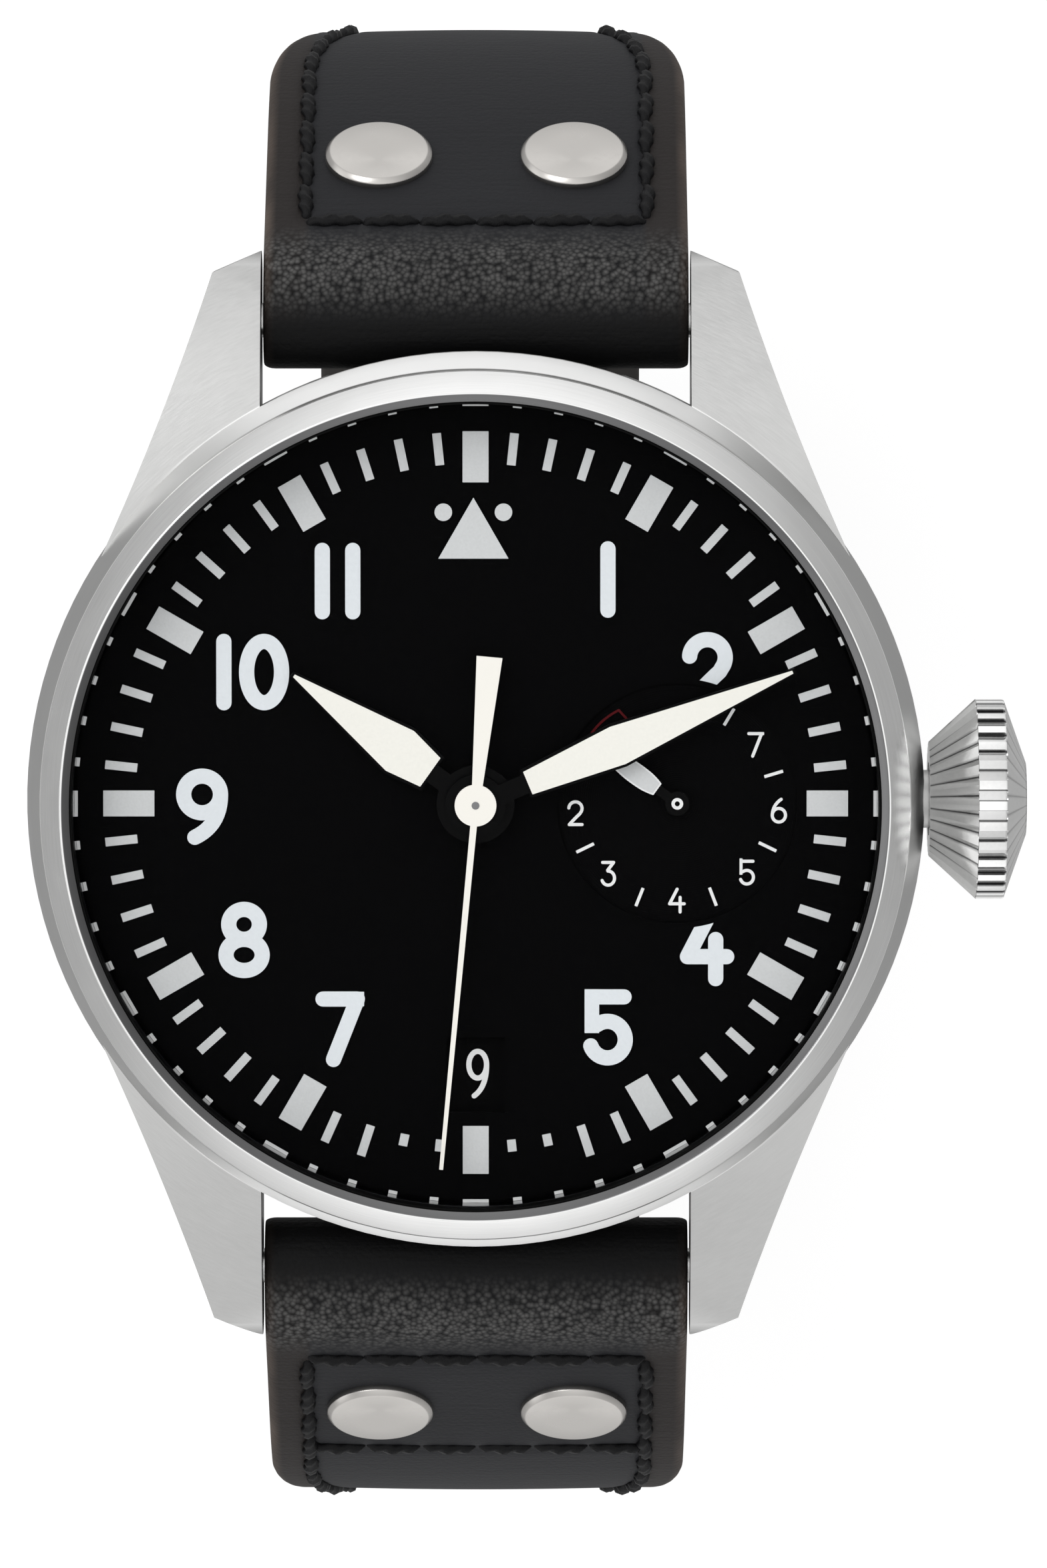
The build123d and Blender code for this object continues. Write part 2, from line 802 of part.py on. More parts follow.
def make_mainspring():
    """The coiled spring inside the drum."""
    x, y = places["barrel"]
    low = bridge_top_z + mesh_gap + barrel_wall
    height = barrel_height - 2 * barrel_wall
    return spiral(
        mainspring_turns, mainspring_inner_radius, mainspring_pitch, mainspring_thickness, low, height, x, y
    )


def make_escape_wheel():
    """The escape wheel with its pointed teeth, and its pinion."""
    x, y = places["escape"]
    low = bridge_top_z + escape_level
    root = escape_radius * escape_root_share
    pitch = 360 / escape_teeth
    points = []
    for tooth in range(escape_teeth):
        base = pitch * tooth
        points.append(polar(root, base))
        points.append(polar(escape_radius, base + pitch * tooth_tip_share))
        points.append(polar(root, base + pitch * tooth_heel_share))
    star = Pos(x, y, low) * extrude(make_face(Polyline(*points, close=True)), wheel_thickness)
    star += ring(escape_pinion_radius, 0, bridge_top_z + fourth_level, low, x, y)
    return star + arbor(x, y, bridge_top_z + mesh_gap, mainplate_z - mesh_gap)


def make_pallet_fork():
    """The lever between the escape wheel and the balance, with its two stones."""
    x, y = places["fork"]
    low = bridge_top_z + escape_level
    frame_of_fork = Pos(x, y, low) * Rot(0, 0, escape_angle)
    anchor_half = escape_radius * fork_anchor_share
    stone_x = -(fork_reach - escape_radius * fork_stone_share)
    width = 2 * pivot_radius
    anchor = Polyline(
        (fork_arm, width / 2),
        (fork_arm, -width / 2),
        (width, -width),
        (stone_x, -anchor_half - width),
        (stone_x - width, -anchor_half - width),
        (stone_x - width, -anchor_half),
        (0, -width / 2),
        (0, width / 2),
        (stone_x - width, anchor_half),
        (stone_x - width, anchor_half + width),
        (stone_x, anchor_half + width),
        (width, width),
        close=True,
    )
    lever = frame_of_fork * extrude(make_face(anchor), wheel_thickness)
    return lever + arbor(x, y, bridge_top_z + mesh_gap, mainplate_z - mesh_gap)


def make_balance():
    """The balance wheel with two arms, on its staff with its roller."""
    x, y = places["balance"]
    low = bridge_top_z + balance_level
    high = low + 2 * wheel_thickness
    rim = ring(balance_radius, balance_radius - balance_rim, low, high, x, y)
    arm = Box(2 * balance_radius - balance_rim, 2 * balance_rim, 2 * wheel_thickness)
    rim += Pos(x, y, low + wheel_thickness) * arm
    roller_low = bridge_top_z + escape_level
    rim += ring(pinion_radius, 0, roller_low, roller_low + wheel_thickness, x, y)
    return rim + arbor(x, y, bridge_top_z + mesh_gap, mainplate_z - mesh_gap)


def make_hairspring():
    """The balance's flat spiral, pinned at its outer end under the mainplate."""
    x, y = places["balance"]
    low = bridge_top_z + escape_level + 3 * wheel_thickness
    coil = spiral(
        hairspring_turns,
        hairspring_inner_radius,
        hairspring_pitch,
        hairspring_thickness,
        low,
        hairspring_height,
        x,
        y,
    )
    stud_x = x + hairspring_inner_radius + hairspring_turns * hairspring_pitch
    return coil, ring(pivot_radius, 0, low + hairspring_height, mainplate_z, stud_x, y)


def make_rotor():
    """The winding rotor: a half-disc web with a heavy rim, and its hub."""
    top = rotor_z + rotor_thickness
    web = ring(movement_radius, 0, top - rotor_web_thickness, top)
    web += ring(movement_radius, movement_radius - rotor_rim_width, rotor_z, top)
    size = 2 * movement_radius
    web &= Pos(0, 0, rotor_z) * Box(2 * size, size, 2 * size, align=(Align.CENTER, Align.MAX, Align.CENTER))
    web += ring(rotor_hub_radius, 0, rotor_z, top)
    return web - ring(rotor_bearing_radius + running_gap, 0, rotor_z - overrun, top + overrun)


def make_cannon_pinion():
    """The pipe of the minute hand with its pinion over the mainplate."""
    pinion_z = mainplate_z + mainplate_thickness - motion_level_step + mesh_gap
    bore = seconds_arbor_radius + running_gap
    pipe = ring(cannon_radius, bore, mainplate_z, minute_hand_z)
    return pipe + ring(cannon_pinion_radius, bore, pinion_z, pinion_z + 2 * motion_level_step)


def make_minute_wheel():
    """The wheel that gears the minute pipe down to the hour wheel."""
    x, y = polar(cannon_pinion_radius + minute_wheel_radius + mesh_gap, minute_wheel_angle)
    top = mainplate_z + mainplate_thickness
    low = top + mesh_gap
    wheel = spoked_wheel(minute_wheel_radius, minute_pinion_radius, low, low + motion_wheel_thickness, x, y)
    pinion_top = low + 2 * motion_wheel_thickness + motion_level_step / 2
    wheel += ring(minute_pinion_radius, 0, low, pinion_top, x, y)
    return wheel + ring(pivot_radius, 0, top - pinion_height + mesh_gap, low, x, y)


def make_hour_wheel():
    """The hour wheel and its pipe, which carries the hour hand."""
    low = mainplate_z + mainplate_thickness + motion_level_step + 2 * mesh_gap
    bore = cannon_radius + running_gap
    wheel = ring(hour_wheel_radius, bore, low, low + motion_wheel_thickness)
    return wheel + ring(hour_pipe_radius, bore, low, hour_hand_z)


def make_fourth_wheel():
    """The seconds arbor with the fourth wheel and its pinion."""
    low = bridge_top_z + fourth_level
    wheel = spoked_wheel(fourth_radius, pinion_radius, low, low + wheel_thickness, 0, 0)
    leaf_low = bridge_top_z + third_level - wheel_thickness
    wheel += ring(pinion_radius, 0, leaf_low, leaf_low + pinion_height, 0, 0)
    wheel += ring(seconds_arbor_radius, 0, bridge_top_z + mesh_gap, seconds_hand_z)
    return wheel + ring(pivot_radius, 0, bridge_top_z - pinion_height, bridge_top_z + mesh_gap)


def make_date_disc():
    """The flat ring that carries the dates under the window."""
    low = mainplate_z + mainplate_thickness + motion_level_step
    return ring(date_ring_outer_radius, date_ring_inner_radius, low, low + date_ring_thickness)


def make_date_jumper():
    """The sprung lever beside the date ring, screwed to the mainplate."""
    low = mainplate_z + mainplate_thickness
    x, y = polar(date_ring_inner_radius - jumper_width - moving_gap, jumper_angle)
    bar = SlotOverall(jumper_length, jumper_width)
    return Pos(x, y, low) * Rot(0, 0, jumper_angle + 90) * extrude(bar, jumper_thickness)


def lume_outline(start, base_width, widest, width, tip, border=0):
    """A long pointed blade: a short widening base, then a straight taper to the tip."""
    return Polyline(
        (-base_width / 2 - border, start - border),
        (base_width / 2 + border, start - border),
        (width / 2 + border, widest),
        ((hand_blunt_width + border) / 2, tip + border),
        (-(hand_blunt_width + border) / 2, tip + border),
        (-width / 2 - border, widest),
        close=True,
    )


def lumed_hand(sizes, hub, bore, low):
    """A hand's black frame, bored for its pipe, and the luminous filling set in its slot."""
    start = sizes[0]
    frame_blade = make_face(lume_outline(*sizes, border=hand_border))
    slot = make_face(lume_outline(*sizes))
    shank = Pos(0, start / 2) * Rectangle(hand_shank_width, start)
    hand = Pos(0, 0, low) * extrude(frame_blade + shank + Circle(hub), hand_thickness)
    hand -= Pos(0, 0, low - overrun) * extrude(slot + Circle(bore), 2 * overrun)
    filling = Pos(0, 0, low) * extrude(slot, hand_thickness)
    return hand, filling


def turned_clockwise(solid, angle):
    """Turns a hand from 12 o'clock to where it points."""
    return Rot(0, 0, -angle) * solid


def make_seconds_hand():
    """The needle with a flared tail and a round hub."""
    needle = Polyline(
        (-seconds_base_width / 2, 0),
        (-seconds_tip_width / 2, seconds_tip),
        (seconds_tip_width / 2, seconds_tip),
        (seconds_base_width / 2, 0),
        (seconds_tail_neck_width / 2, 0),
        (seconds_tail_width / 2, -seconds_tail),
        (-seconds_tail_width / 2, -seconds_tail),
        (-seconds_tail_neck_width / 2, 0),
        close=True,
    )
    outline = make_face(needle) + Circle(seconds_hub_radius)
    hand = Pos(0, 0, seconds_hand_z) * extrude(outline, hand_thickness)
    return turned_clockwise(hand, seconds_hand_angle)


def make_reserve_hand():
    """The small hand of the reserve dial on its arbor."""
    low = flange_z - reserve_depth + reserve_hand_rise
    start = reserve_radius * reserve_blade_start_share
    shoulder = reserve_tip * (1 - reserve_point_share)
    upper = [
        (0, reserve_shank_width / 2),
        (start, reserve_shank_width / 2),
        (start, reserve_blade_width / 2),
        (shoulder, reserve_blade_width / 2),
    ]
    lower = [(x, -y) for x, y in reversed(upper)]
    blade = Polyline(*upper, (reserve_tip, 0), *lower, close=True)
    flat_hand = extrude(make_face(blade) + Circle(reserve_hub_radius), hand_thickness)
    hand = Pos(reserve_x, 0, low) * Rot(0, 0, reserve_hand_angle) * flat_hand
    arbor_low = mainplate_z + mainplate_thickness - pinion_height + mesh_gap
    return hand + ring(arbor_radius, 0, arbor_low, low, reserve_x)


def cone_flute():
    """The tool for one flute: a V that runs along the crown's cone and out through the band's edge."""
    rise = crown_radius - crown_neck_radius
    edge = (crown_start_x + crown_cone_length, 0, crown_radius)
    across = Plane(origin=edge, x_dir=(0, 1, 0), z_dir=(crown_cone_length, 0, rise))
    half = pi * crown_radius / crown_flutes * crown_flute_share
    vee = Polyline((-half, 0), (0, -crown_flute_depth), (half, 0), (0, crown_flute_depth), close=True)
    reach = hypot(crown_cone_length, rise)
    return extrude(across * make_face(vee), reach, both=True)


def grip_slot():
    """The tool for one slot of the gripping band."""
    width = 2 * pi * crown_radius / crown_flutes * crown_slot_share
    root = Pos(crown_start_x + crown_cone_length, 0, crown_radius - crown_slot_depth)
    length = crown_grip_length + crown_dome_length
    return root * Box(length, width, 2 * crown_slot_depth, align=(Align.MIN, Align.CENTER, Align.MIN))


def make_crown():
    """The crown: a fluted cone out of its neck, a slotted band and a bevelled end."""
    cone_end = crown_start_x + crown_cone_length
    grip_end = cone_end + crown_grip_length
    tip = grip_end + crown_dome_length
    blank = turned_about_x(
        [
            (crown_start_x, 0),
            (crown_start_x, crown_neck_radius),
            (cone_end, crown_radius),
            (grip_end, crown_radius),
            (tip, crown_end_radius),
            (tip, 0),
        ],
        crown_z,
    )
    tools = []
    for index in range(crown_flutes):
        turn = Pos(0, 0, crown_z) * Rot(360 / crown_flutes * index, 0, 0)
        tools.append(turn * cone_flute())
        tools.append(turn * grip_slot())
    blank -= tools
    bore_end = crown_start_x + tube_stand_out
    bore = turned_about_x(
        [
            (crown_start_x - overrun, 0),
            (bore_end, 0),
            (bore_end, tube_radius + crown_gasket_wall),
            (crown_start_x - overrun, tube_radius + crown_gasket_wall),
        ],
        crown_z,
    )
    return blank - bore


def tube_between(start, end, outer, inner):
    """A tube along X at the height of the crown."""
    return turned_about_x([(start, inner), (end, inner), (end, outer), (start, outer)], crown_z)


def make_stem():
    """The stem: round through the tube, square where the winding pinion slides on it."""
    square_end = case_bore_radius - movement_ring_wall - shield_wall
    square_start = winding_pinion_x - crown_travel - seat_gap
    rod = turned_about_x(
        [
            (square_end, 0),
            (crown_start_x + tube_stand_out, 0),
            (crown_start_x + tube_stand_out, stem_radius),
            (square_end, stem_radius),
        ],
        crown_z,
    )
    square = Pos(square_start, 0, crown_z) * Box(
        square_end - square_start, stem_square, stem_square, align=(Align.MIN, Align.CENTER, Align.CENTER)
    )
    return rod + square


def make_winding_pinion():
    """The pinion on the stem's square: it turns with the stem, but stays when the crown is pulled."""
    body = tube_between(winding_pinion_x, winding_pinion_x + winding_pinion_length, winding_pinion_radius, 0)
    hole = stem_square + 2 * running_gap
    return body - Pos(winding_pinion_x, 0, crown_z) * Box(4 * winding_pinion_length, hole, hole)


def hoop_point(y_side, angle, thickness):
    """A point of the strap's lower arc, thickness inside its outer line, angle below the widest level."""
    radius = hoop_radius - thickness
    turn = radians(angle)
    return at(y_side * (foot_half_length + radius * cos(turn)), hoop_centre_z - radius * sin(turn))


def roll_start():
    """The inner side of the roll round the lug bar, where the strap's inner line leaves it."""
    return at(bar_reach - strap_roll_radius * fall_normal[0], bar_z - strap_roll_radius * fall_normal[1])


def strap_outer_line(end_angle):
    """The outer line of the strap at 12, from the inner side of the roll round the bar to the lower arc."""
    top = at(bar_reach, back_z + roll_top_rise)
    bend_end = at(bend_end_y, back_z + bend_end_rise)
    patch_end = at(patch_end_y, back_z + patch_end_rise)
    side = at(side_y, hoop_centre_z)
    half_fall = fall / 2
    bend_middle = at(
        bar_reach + strap_bend_radius * sin(half_fall),
        back_z + roll_top_rise - strap_bend_radius * (1 - cos(half_fall)),
    )
    side_turn = (fall + radians(90)) / 2
    side_middle = at(
        side_y - strap_side_radius * (1 - sin(side_turn)),
        hoop_centre_z + strap_side_radius * cos(side_turn),
    )
    return [
        ThreePointArc(roll_start(), at(bar_reach - strap_roll_radius, bar_z), top),
        ThreePointArc(top, bend_middle, bend_end),
        Line(bend_end, patch_end),
        ThreePointArc(patch_end, side_middle, side),
        ThreePointArc(side, hoop_point(1, end_angle / 2, 0), hoop_point(1, end_angle, 0)),
    ]


def strap_inner_line(end_angle, lift, start_share=0):
    """The inner line of the strap at 12, raised by lift, from the lower arc back to the roll."""
    patch_depth = patch_thickness - lift
    patch_end = at(
        patch_end_y - patch_depth * fall_normal[0],
        back_z + patch_end_rise - patch_depth * fall_normal[1],
    )
    lifted_start = roll_start() + at(lift * fall_normal[0], lift * fall_normal[1])
    start = lifted_start + (patch_end - lifted_start) * start_share
    thickness = strap_thickness - lift
    side = at(side_y - thickness, hoop_centre_z)
    side_turn = (fall + radians(90)) / 2
    middle_depth = (patch_depth + thickness) / 2
    side_middle = at(
        side_y - strap_side_radius * (1 - sin(side_turn)) - middle_depth * sin(side_turn),
        hoop_centre_z + strap_side_radius * cos(side_turn) - middle_depth * cos(side_turn),
    )
    return [
        ThreePointArc(
            hoop_point(1, end_angle, thickness), hoop_point(1, end_angle / 2, thickness), side
        ),
        ThreePointArc(side, side_middle, patch_end),
        Line(patch_end, start),
    ]


def strap_plan(half_end_width):
    """The strap seen along Y: full width by the case, then rounded shoulders down to the narrow run."""
    top = back_z + roll_top_rise + overrun
    shoulder = back_z - shoulder_drop
    narrow = back_z - shoulder_end_drop
    half = strap_width / 2
    middle = (half + (half_end_width - half) * shoulder_bulge_share, (shoulder + narrow) / 2)
    outline = make_face(
        [
            Line((0, top), (half, top)),
            Line((half, top), (half, shoulder)),
            ThreePointArc((half, shoulder), middle, (half_end_width, narrow)),
            Line((half_end_width, narrow), (half_end_width, -overrun)),
            Line((half_end_width, -overrun), (0, -overrun)),
            Line((0, -overrun), (0, top)),
        ]
    )
    plan = extrude(Plane.XZ * outline, 2 * side_y, both=True)
    return plan + mirror(plan, Plane.YZ)


def strap_bar_place():
    """The Y and Z of the bar in the end of the strap at 12, on the strap's middle line."""
    radius = hoop_radius - strap_thickness / 2
    run = strap_bar_reach - foot_half_length
    return strap_bar_reach, hoop_centre_z - sqrt(radius**2 - run**2)


bar_end_y, bar_end_z = strap_bar_place()
bar_end_angle = degrees(acos((strap_bar_reach - foot_half_length) / (hoop_radius - strap_thickness / 2)))


def strap_solids(end_angle, tail):
    """The leather and the lining of one strap, drawn at 12, with the extra tail past the lower arc."""
    half = strap_width / 2
    outer_line = strap_outer_line(end_angle)
    inner_line = strap_inner_line(end_angle, 0)
    close_end = Line(outer_line[-1] @ 1, inner_line[0] @ 0)
    whole = side_profile([*outer_line, close_end, *inner_line], half)
    lining_top = strap_inner_line(end_angle, lining_thickness, lining_start_share)
    lining_bottom = strap_inner_line(end_angle, 0, lining_start_share)
    lining = side_profile(
        [
            *lining_top,
            *lining_bottom,
            Line(lining_top[0] @ 0, lining_bottom[0] @ 0),
            Line(lining_top[-1] @ 1, lining_bottom[-1] @ 1),
        ],
        half,
    )
    if tail:
        whole += tail_slab(tail_bottom, tail_top)
        lining += tail_slab(tail_top - lining_thickness, tail_top)
    leather = whole - lining
    plan = strap_plan(strap_end_width / 2)
    leather = (leather & plan) - rod_along_x(bar_radius + seat_gap, half, bar_reach, bar_z)
    return leather, lining & plan


def tail_slab(low, high):
    """The flat, pointed tail inside the clasp's cover, drawn as if it came from 12."""
    half = strap_width / 2
    tip_y = -(cover_pivot_reach - knuckle_radius - moving_gap)
    point = strap_end_width / 2
    outline = make_face(
        [
            Line((-half, foot_half_length), (half, foot_half_length)),
            Line((half, foot_half_length), (half, tip_y + point)),
            ThreePointArc((half, tip_y + point), (0, tip_y), (-half, tip_y + point)),
            Line((-half, tip_y + point), (-half, foot_half_length)),
        ]
    )
    return Pos(0, 0, low) * extrude(outline, high - low)


def rivet_frame():
    """The plane on the patch's outer face, midway between its two rivets."""
    y = bend_end_y + rivet_distance * fall_direction[0]
    z = back_z + bend_end_rise + rivet_distance * fall_direction[1]
    return Plane(origin=(0, y, z), x_dir=(1, 0, 0), z_dir=(0, fall_normal[0], fall_normal[1]))


def patch_depth_at_rivet():
    """The strap's thickness under a rivet."""
    outer_y = bend_end_y + rivet_distance * fall_direction[0]
    outer_rise = bend_end_rise + rivet_distance * fall_direction[1]
    roll_y = bar_reach - strap_roll_radius * fall_normal[0]
    roll_rise = bar_rise - strap_roll_radius * fall_normal[1]
    end_y = patch_end_y - patch_thickness * fall_normal[0]
    end_rise = patch_end_rise - patch_thickness * fall_normal[1]
    run_y = end_y - roll_y
    run_rise = end_rise - roll_rise
    # the distance along the rivet's axis at which it meets the inner line
    cross = fall_normal[0] * run_rise - fall_normal[1] * run_y
    return ((outer_y - roll_y) * run_rise - (outer_rise - roll_rise) * run_y) / cross


def make_rivets():
    """Two rivets through the patch: a broad bevelled head outside and a smaller one inside."""
    depth = patch_depth_at_rivet() + rivet_back_seat
    half_profile = Polyline(
        (0, -depth - rivet_back_height),
        (rivet_back_radius, -depth - rivet_back_height),
        (rivet_back_radius, -depth),
        (rivet_shank_radius, -depth),
        (rivet_shank_radius, running_gap),
        (rivet_radius, running_gap),
        (rivet_radius, rivet_height - rivet_bevel),
        (rivet_radius - rivet_bevel, rivet_height),
        (0, rivet_height),
        close=True,
    )
    rivet = revolve(Plane.XZ * make_face(half_profile), Axis.Z)
    frame_of_patch = rivet_frame().location
    return [frame_of_patch * Pos(side * rivet_spacing / 2, 0, 0) * rivet for side in (-1, 1)]


def rivet_holes(depth):
    """Holes for the rivets' shanks."""
    frame_of_patch = rivet_frame().location
    hole = Cylinder(rivet_shank_radius + running_gap, 4 * depth)
    return [frame_of_patch * Pos(side * rivet_spacing / 2, 0, 0) * hole for side in (-1, 1)]


def tail_holes():
    """The row of long holes in the tail, one of them on the clasp's stud."""
    slot = Rot(0, 0, 90) * SlotOverall(strap_hole_length, strap_hole_width)
    hole = extrude(slot, 2 * overrun)
    holes = []
    for index in range(-1, strap_hole_count - 1):
        y = strap_hole_pitch * index - stud_y
        if abs(y) < foot_half_length:
            holes.append(Pos(0, y, -overrun / 2) * hole)
    return holes


def cover_arc_point(radius, angle):
    """A point of the cover's curved end, by its radius and its angle from the end of the flat foot."""
    turn = radians(angle)
    return at(-foot_half_length - radius * sin(turn), hoop_centre_z - radius * cos(turn))


def cover_channel(top_radius, half_width):
    """The cover from its underside up to top_radius: flat along the foot, then round with the strap."""
    outer_radius = hoop_centre_z
    far_angle = degrees(asin((cover_back_reach - foot_half_length) / hoop_radius))
    top = hoop_centre_z - top_radius
    under = [cover_arc_point(outer_radius, far_angle * share) for share in (1, 1 / 2, 0)]
    over = [cover_arc_point(top_radius, far_angle * share) for share in (0, 1 / 2, 1)]
    return side_profile(
        [
            ThreePointArc(*under),
            Polyline(under[-1], at(cover_front_reach, 0), at(cover_front_reach, top), over[0]),
            ThreePointArc(*over),
            Line(over[-1], under[0]),
        ],
        half_width,
    )


def make_cover():
    """The clasp's cover: a plate under the tail with low side rims and a knuckle for the middle blade."""
    plate_radius = hoop_centre_z - cover_thickness
    body = cover_channel(plate_radius - cover_rim_height, cover_width / 2)
    body -= Box(strap_end_width + 2 * seat_gap, 4 * cover_back_reach, 4 * cover_back_reach)
    body += cover_channel(plate_radius, cover_width / 2)
    foot_height = pivot_z - cover_thickness / 2
    knuckle_foot = Pos(0, cover_pivot_reach, cover_thickness / 2) * Box(
        knuckle_width, 2 * knuckle_radius, foot_height, align=(Align.CENTER, Align.CENTER, Align.MIN)
    )
    knuckle = rod_along_x(knuckle_radius, knuckle_width / 2, cover_pivot_reach, pivot_z)
    body += [knuckle, knuckle_foot]
    return body - rod_along_x(clasp_pin_radius + running_gap, cover_width, cover_pivot_reach, pivot_z)


def make_stud():
    """The stud of the cover that passes through a hole of the tail."""
    return ring(stud_radius, 0, cover_thickness, tail_bottom + stud_height, 0, stud_y)


# Pivots of the clasp's blades, as the Y and Z of each
pivot_z = tail_top + moving_gap + blade_thickness / 2
fold_leather_radius = hoop_radius - strap_thickness
fold_y = -fold_reach
fold_z = (
    hoop_centre_z
    - sqrt(fold_leather_radius**2 - (fold_reach - foot_half_length) ** 2)
    + moving_gap
    + knuckle_radius
)
blade_run = hypot(cover_pivot_reach - fold_y, fold_z - pivot_z)
blade_along = ((fold_y - cover_pivot_reach) / blade_run, (fold_z - pivot_z) / blade_run)
blade_up = (blade_along[1], -blade_along[0])


def slab(start, end, offset, thickness, half_width):
    """A flat bar in the YZ plane between two distances from the cover's pivot along the blade's line."""
    corners = []
    for distance, height in ((start, 0), (end, 0), (end, thickness), (start, thickness)):
        lift = offset - thickness / 2 + height
        corners.append(
            at(
                cover_pivot_reach + blade_along[0] * distance + blade_up[0] * lift,
                pivot_z + blade_along[1] * distance + blade_up[1] * lift,
            )
        )
    return side_profile([Polyline(*corners, close=True)], half_width)


def make_middle_blade():
    """The middle blade: forked round the cover's knuckle, with one full knuckle at the fold."""
    half = blade_width / 2
    body = slab(0, blade_run, 0, blade_thickness, half)
    body += rod_along_x(knuckle_radius, half, cover_pivot_reach, pivot_z)
    body += rod_along_x(knuckle_radius, half, fold_y, fold_z)
    gap = Pos(0, cover_pivot_reach, pivot_z) * Box(
        knuckle_width + 2 * moving_gap, 2 * (knuckle_radius + 2 * moving_gap), 4 * knuckle_radius
    )
    body -= gap
    body -= rod_along_x(clasp_pin_radius + running_gap, half, cover_pivot_reach, pivot_z)
    return body - rod_along_x(clasp_pin_radius + running_gap, half, fold_y, fold_z)


def make_bow():
    """The bow: a plate over the middle blade between two arms that hook over the strap's bar."""
    inner_half = blade_width / 2 + moving_gap
    outer_half = inner_half + bow_arm_width
    plate_offset = blade_thickness / 2 + bow_gap + blade_thickness / 2
    plate_near = cover_pivot_reach - bow_plate_end
    plate_far = cover_pivot_reach - bow_plate_start
    plate = slab(plate_near, plate_far, plate_offset, blade_thickness, outer_half)
    plate_top = plate_offset + blade_thickness / 2
    arm_start = at(fold_y + blade_up[0] * knuckle_radius, fold_z + blade_up[1] * knuckle_radius)
    shoulder = at(
        cover_pivot_reach + blade_up[0] * plate_top,
        pivot_z + blade_up[1] * plate_top,
    )
    hook_radius = strap_bar_radius + strap_bar_clearance + strap_bar_wall
    hook_top = at(bar_end_y, bar_end_z + hook_radius)
    hook_side = at(bar_end_y - hook_radius, bar_end_z)
    under_shoulder = shoulder - at(0, plate_top + bow_arm_drop - blade_thickness / 2)
    arm_end = at(fold_y - blade_up[0] * knuckle_radius, fold_z - blade_up[1] * knuckle_radius)
    hook_middle = at(bar_end_y, bar_end_z)
    arm_outline = (arm_start, shoulder, hook_top, hook_middle, hook_side, under_shoulder, arm_end)
    arms = side_profile([Polyline(*arm_outline, close=True)], outer_half)
    arms += rod_along_x(knuckle_radius, outer_half, fold_y, fold_z)
    arms += rod_along_x(hook_radius, outer_half, bar_end_y, bar_end_z)
    room = Box(2 * inner_half, 8 * fold_reach, 8 * fold_reach)
    body = (arms - room) + plate
    below_hook = Pos(0, bar_end_y, bar_end_z) * Box(
        4 * outer_half, 2 * hook_radius + overrun, overrun, align=(Align.CENTER, Align.CENTER, Align.MAX)
    )
    body -= below_hook
    body -= rod_along_x(strap_bar_radius + strap_bar_clearance, outer_half, bar_end_y, bar_end_z)
    return body - rod_along_x(clasp_pin_radius + running_gap, outer_half, fold_y, fold_z)


def make_head():
    """The watch head without its hands."""
    nodes = {
        "mid_case": make_mid_case(),
        "bezel": make_bezel(),
        "crystal": make_crystal(),
        "inner_flange": make_flange(),
        "dial": make_dial(),
        "case_back": make_case_back(),
        "magnetic_shield": make_shield(),
        "movement_ring": make_movement_ring(),
    }
    gasket_low = crystal_z + seat_gap
    gasket_high = crystal_z + crystal_edge_height - seat_gap
    nodes["crystal_gasket"] = ring(crystal_radius + gasket_wall, crystal_radius, gasket_low, gasket_high)
    nodes["case_back_gasket"] = ring(
        back_gasket_outer_radius, back_gasket_inner_radius, mid_case_z, mid_case_z + back_gasket_height
    )
    lug_bar = rod_along_x(bar_radius, lug_gap / 2 + bar_seat_depth - seat_gap, bar_reach, bar_z)
    nodes["lug_bar_12"], nodes["lug_bar_6"] = on_both_ends(lug_bar)
    return nodes


def make_movement():
    """The fixed pieces of the movement and its turning wheels."""
    great_pinion_level = barrel_height + mesh_gap
    third_pinion_level = great_level - mesh_gap
    nodes = {
        "mainplate": make_mainplate(),
        "jewels": make_jewels(),
        "bridge_screws": make_bridge_screws(),
        "rotor_bearing": ring(rotor_bearing_radius, 0, rotor_z, bridge_z),
        "rotor": make_rotor(),
        "barrel": make_barrel(),
        "mainspring": make_mainspring(),
        "great_wheel": train_wheel(
            "great", great_radius, great_level, great_pinion_radius, great_pinion_level
        ),
        "third_wheel": train_wheel("third", third_radius, third_level, pinion_radius, third_pinion_level),
        "fourth_wheel": make_fourth_wheel(),
        "escape_wheel": make_escape_wheel(),
        "pallet_fork": make_pallet_fork(),
        "balance_wheel": make_balance(),
        "hairspring": make_hairspring(),
        "cannon_pinion": make_cannon_pinion(),
        "minute_wheel": make_minute_wheel(),
        "hour_wheel": make_hour_wheel(),
        "date_disc": make_date_disc(),
        "date_jumper": make_date_jumper(),
    }
    for name in pillar_angles:
        nodes[name] = make_bridge(name)
    return nodes


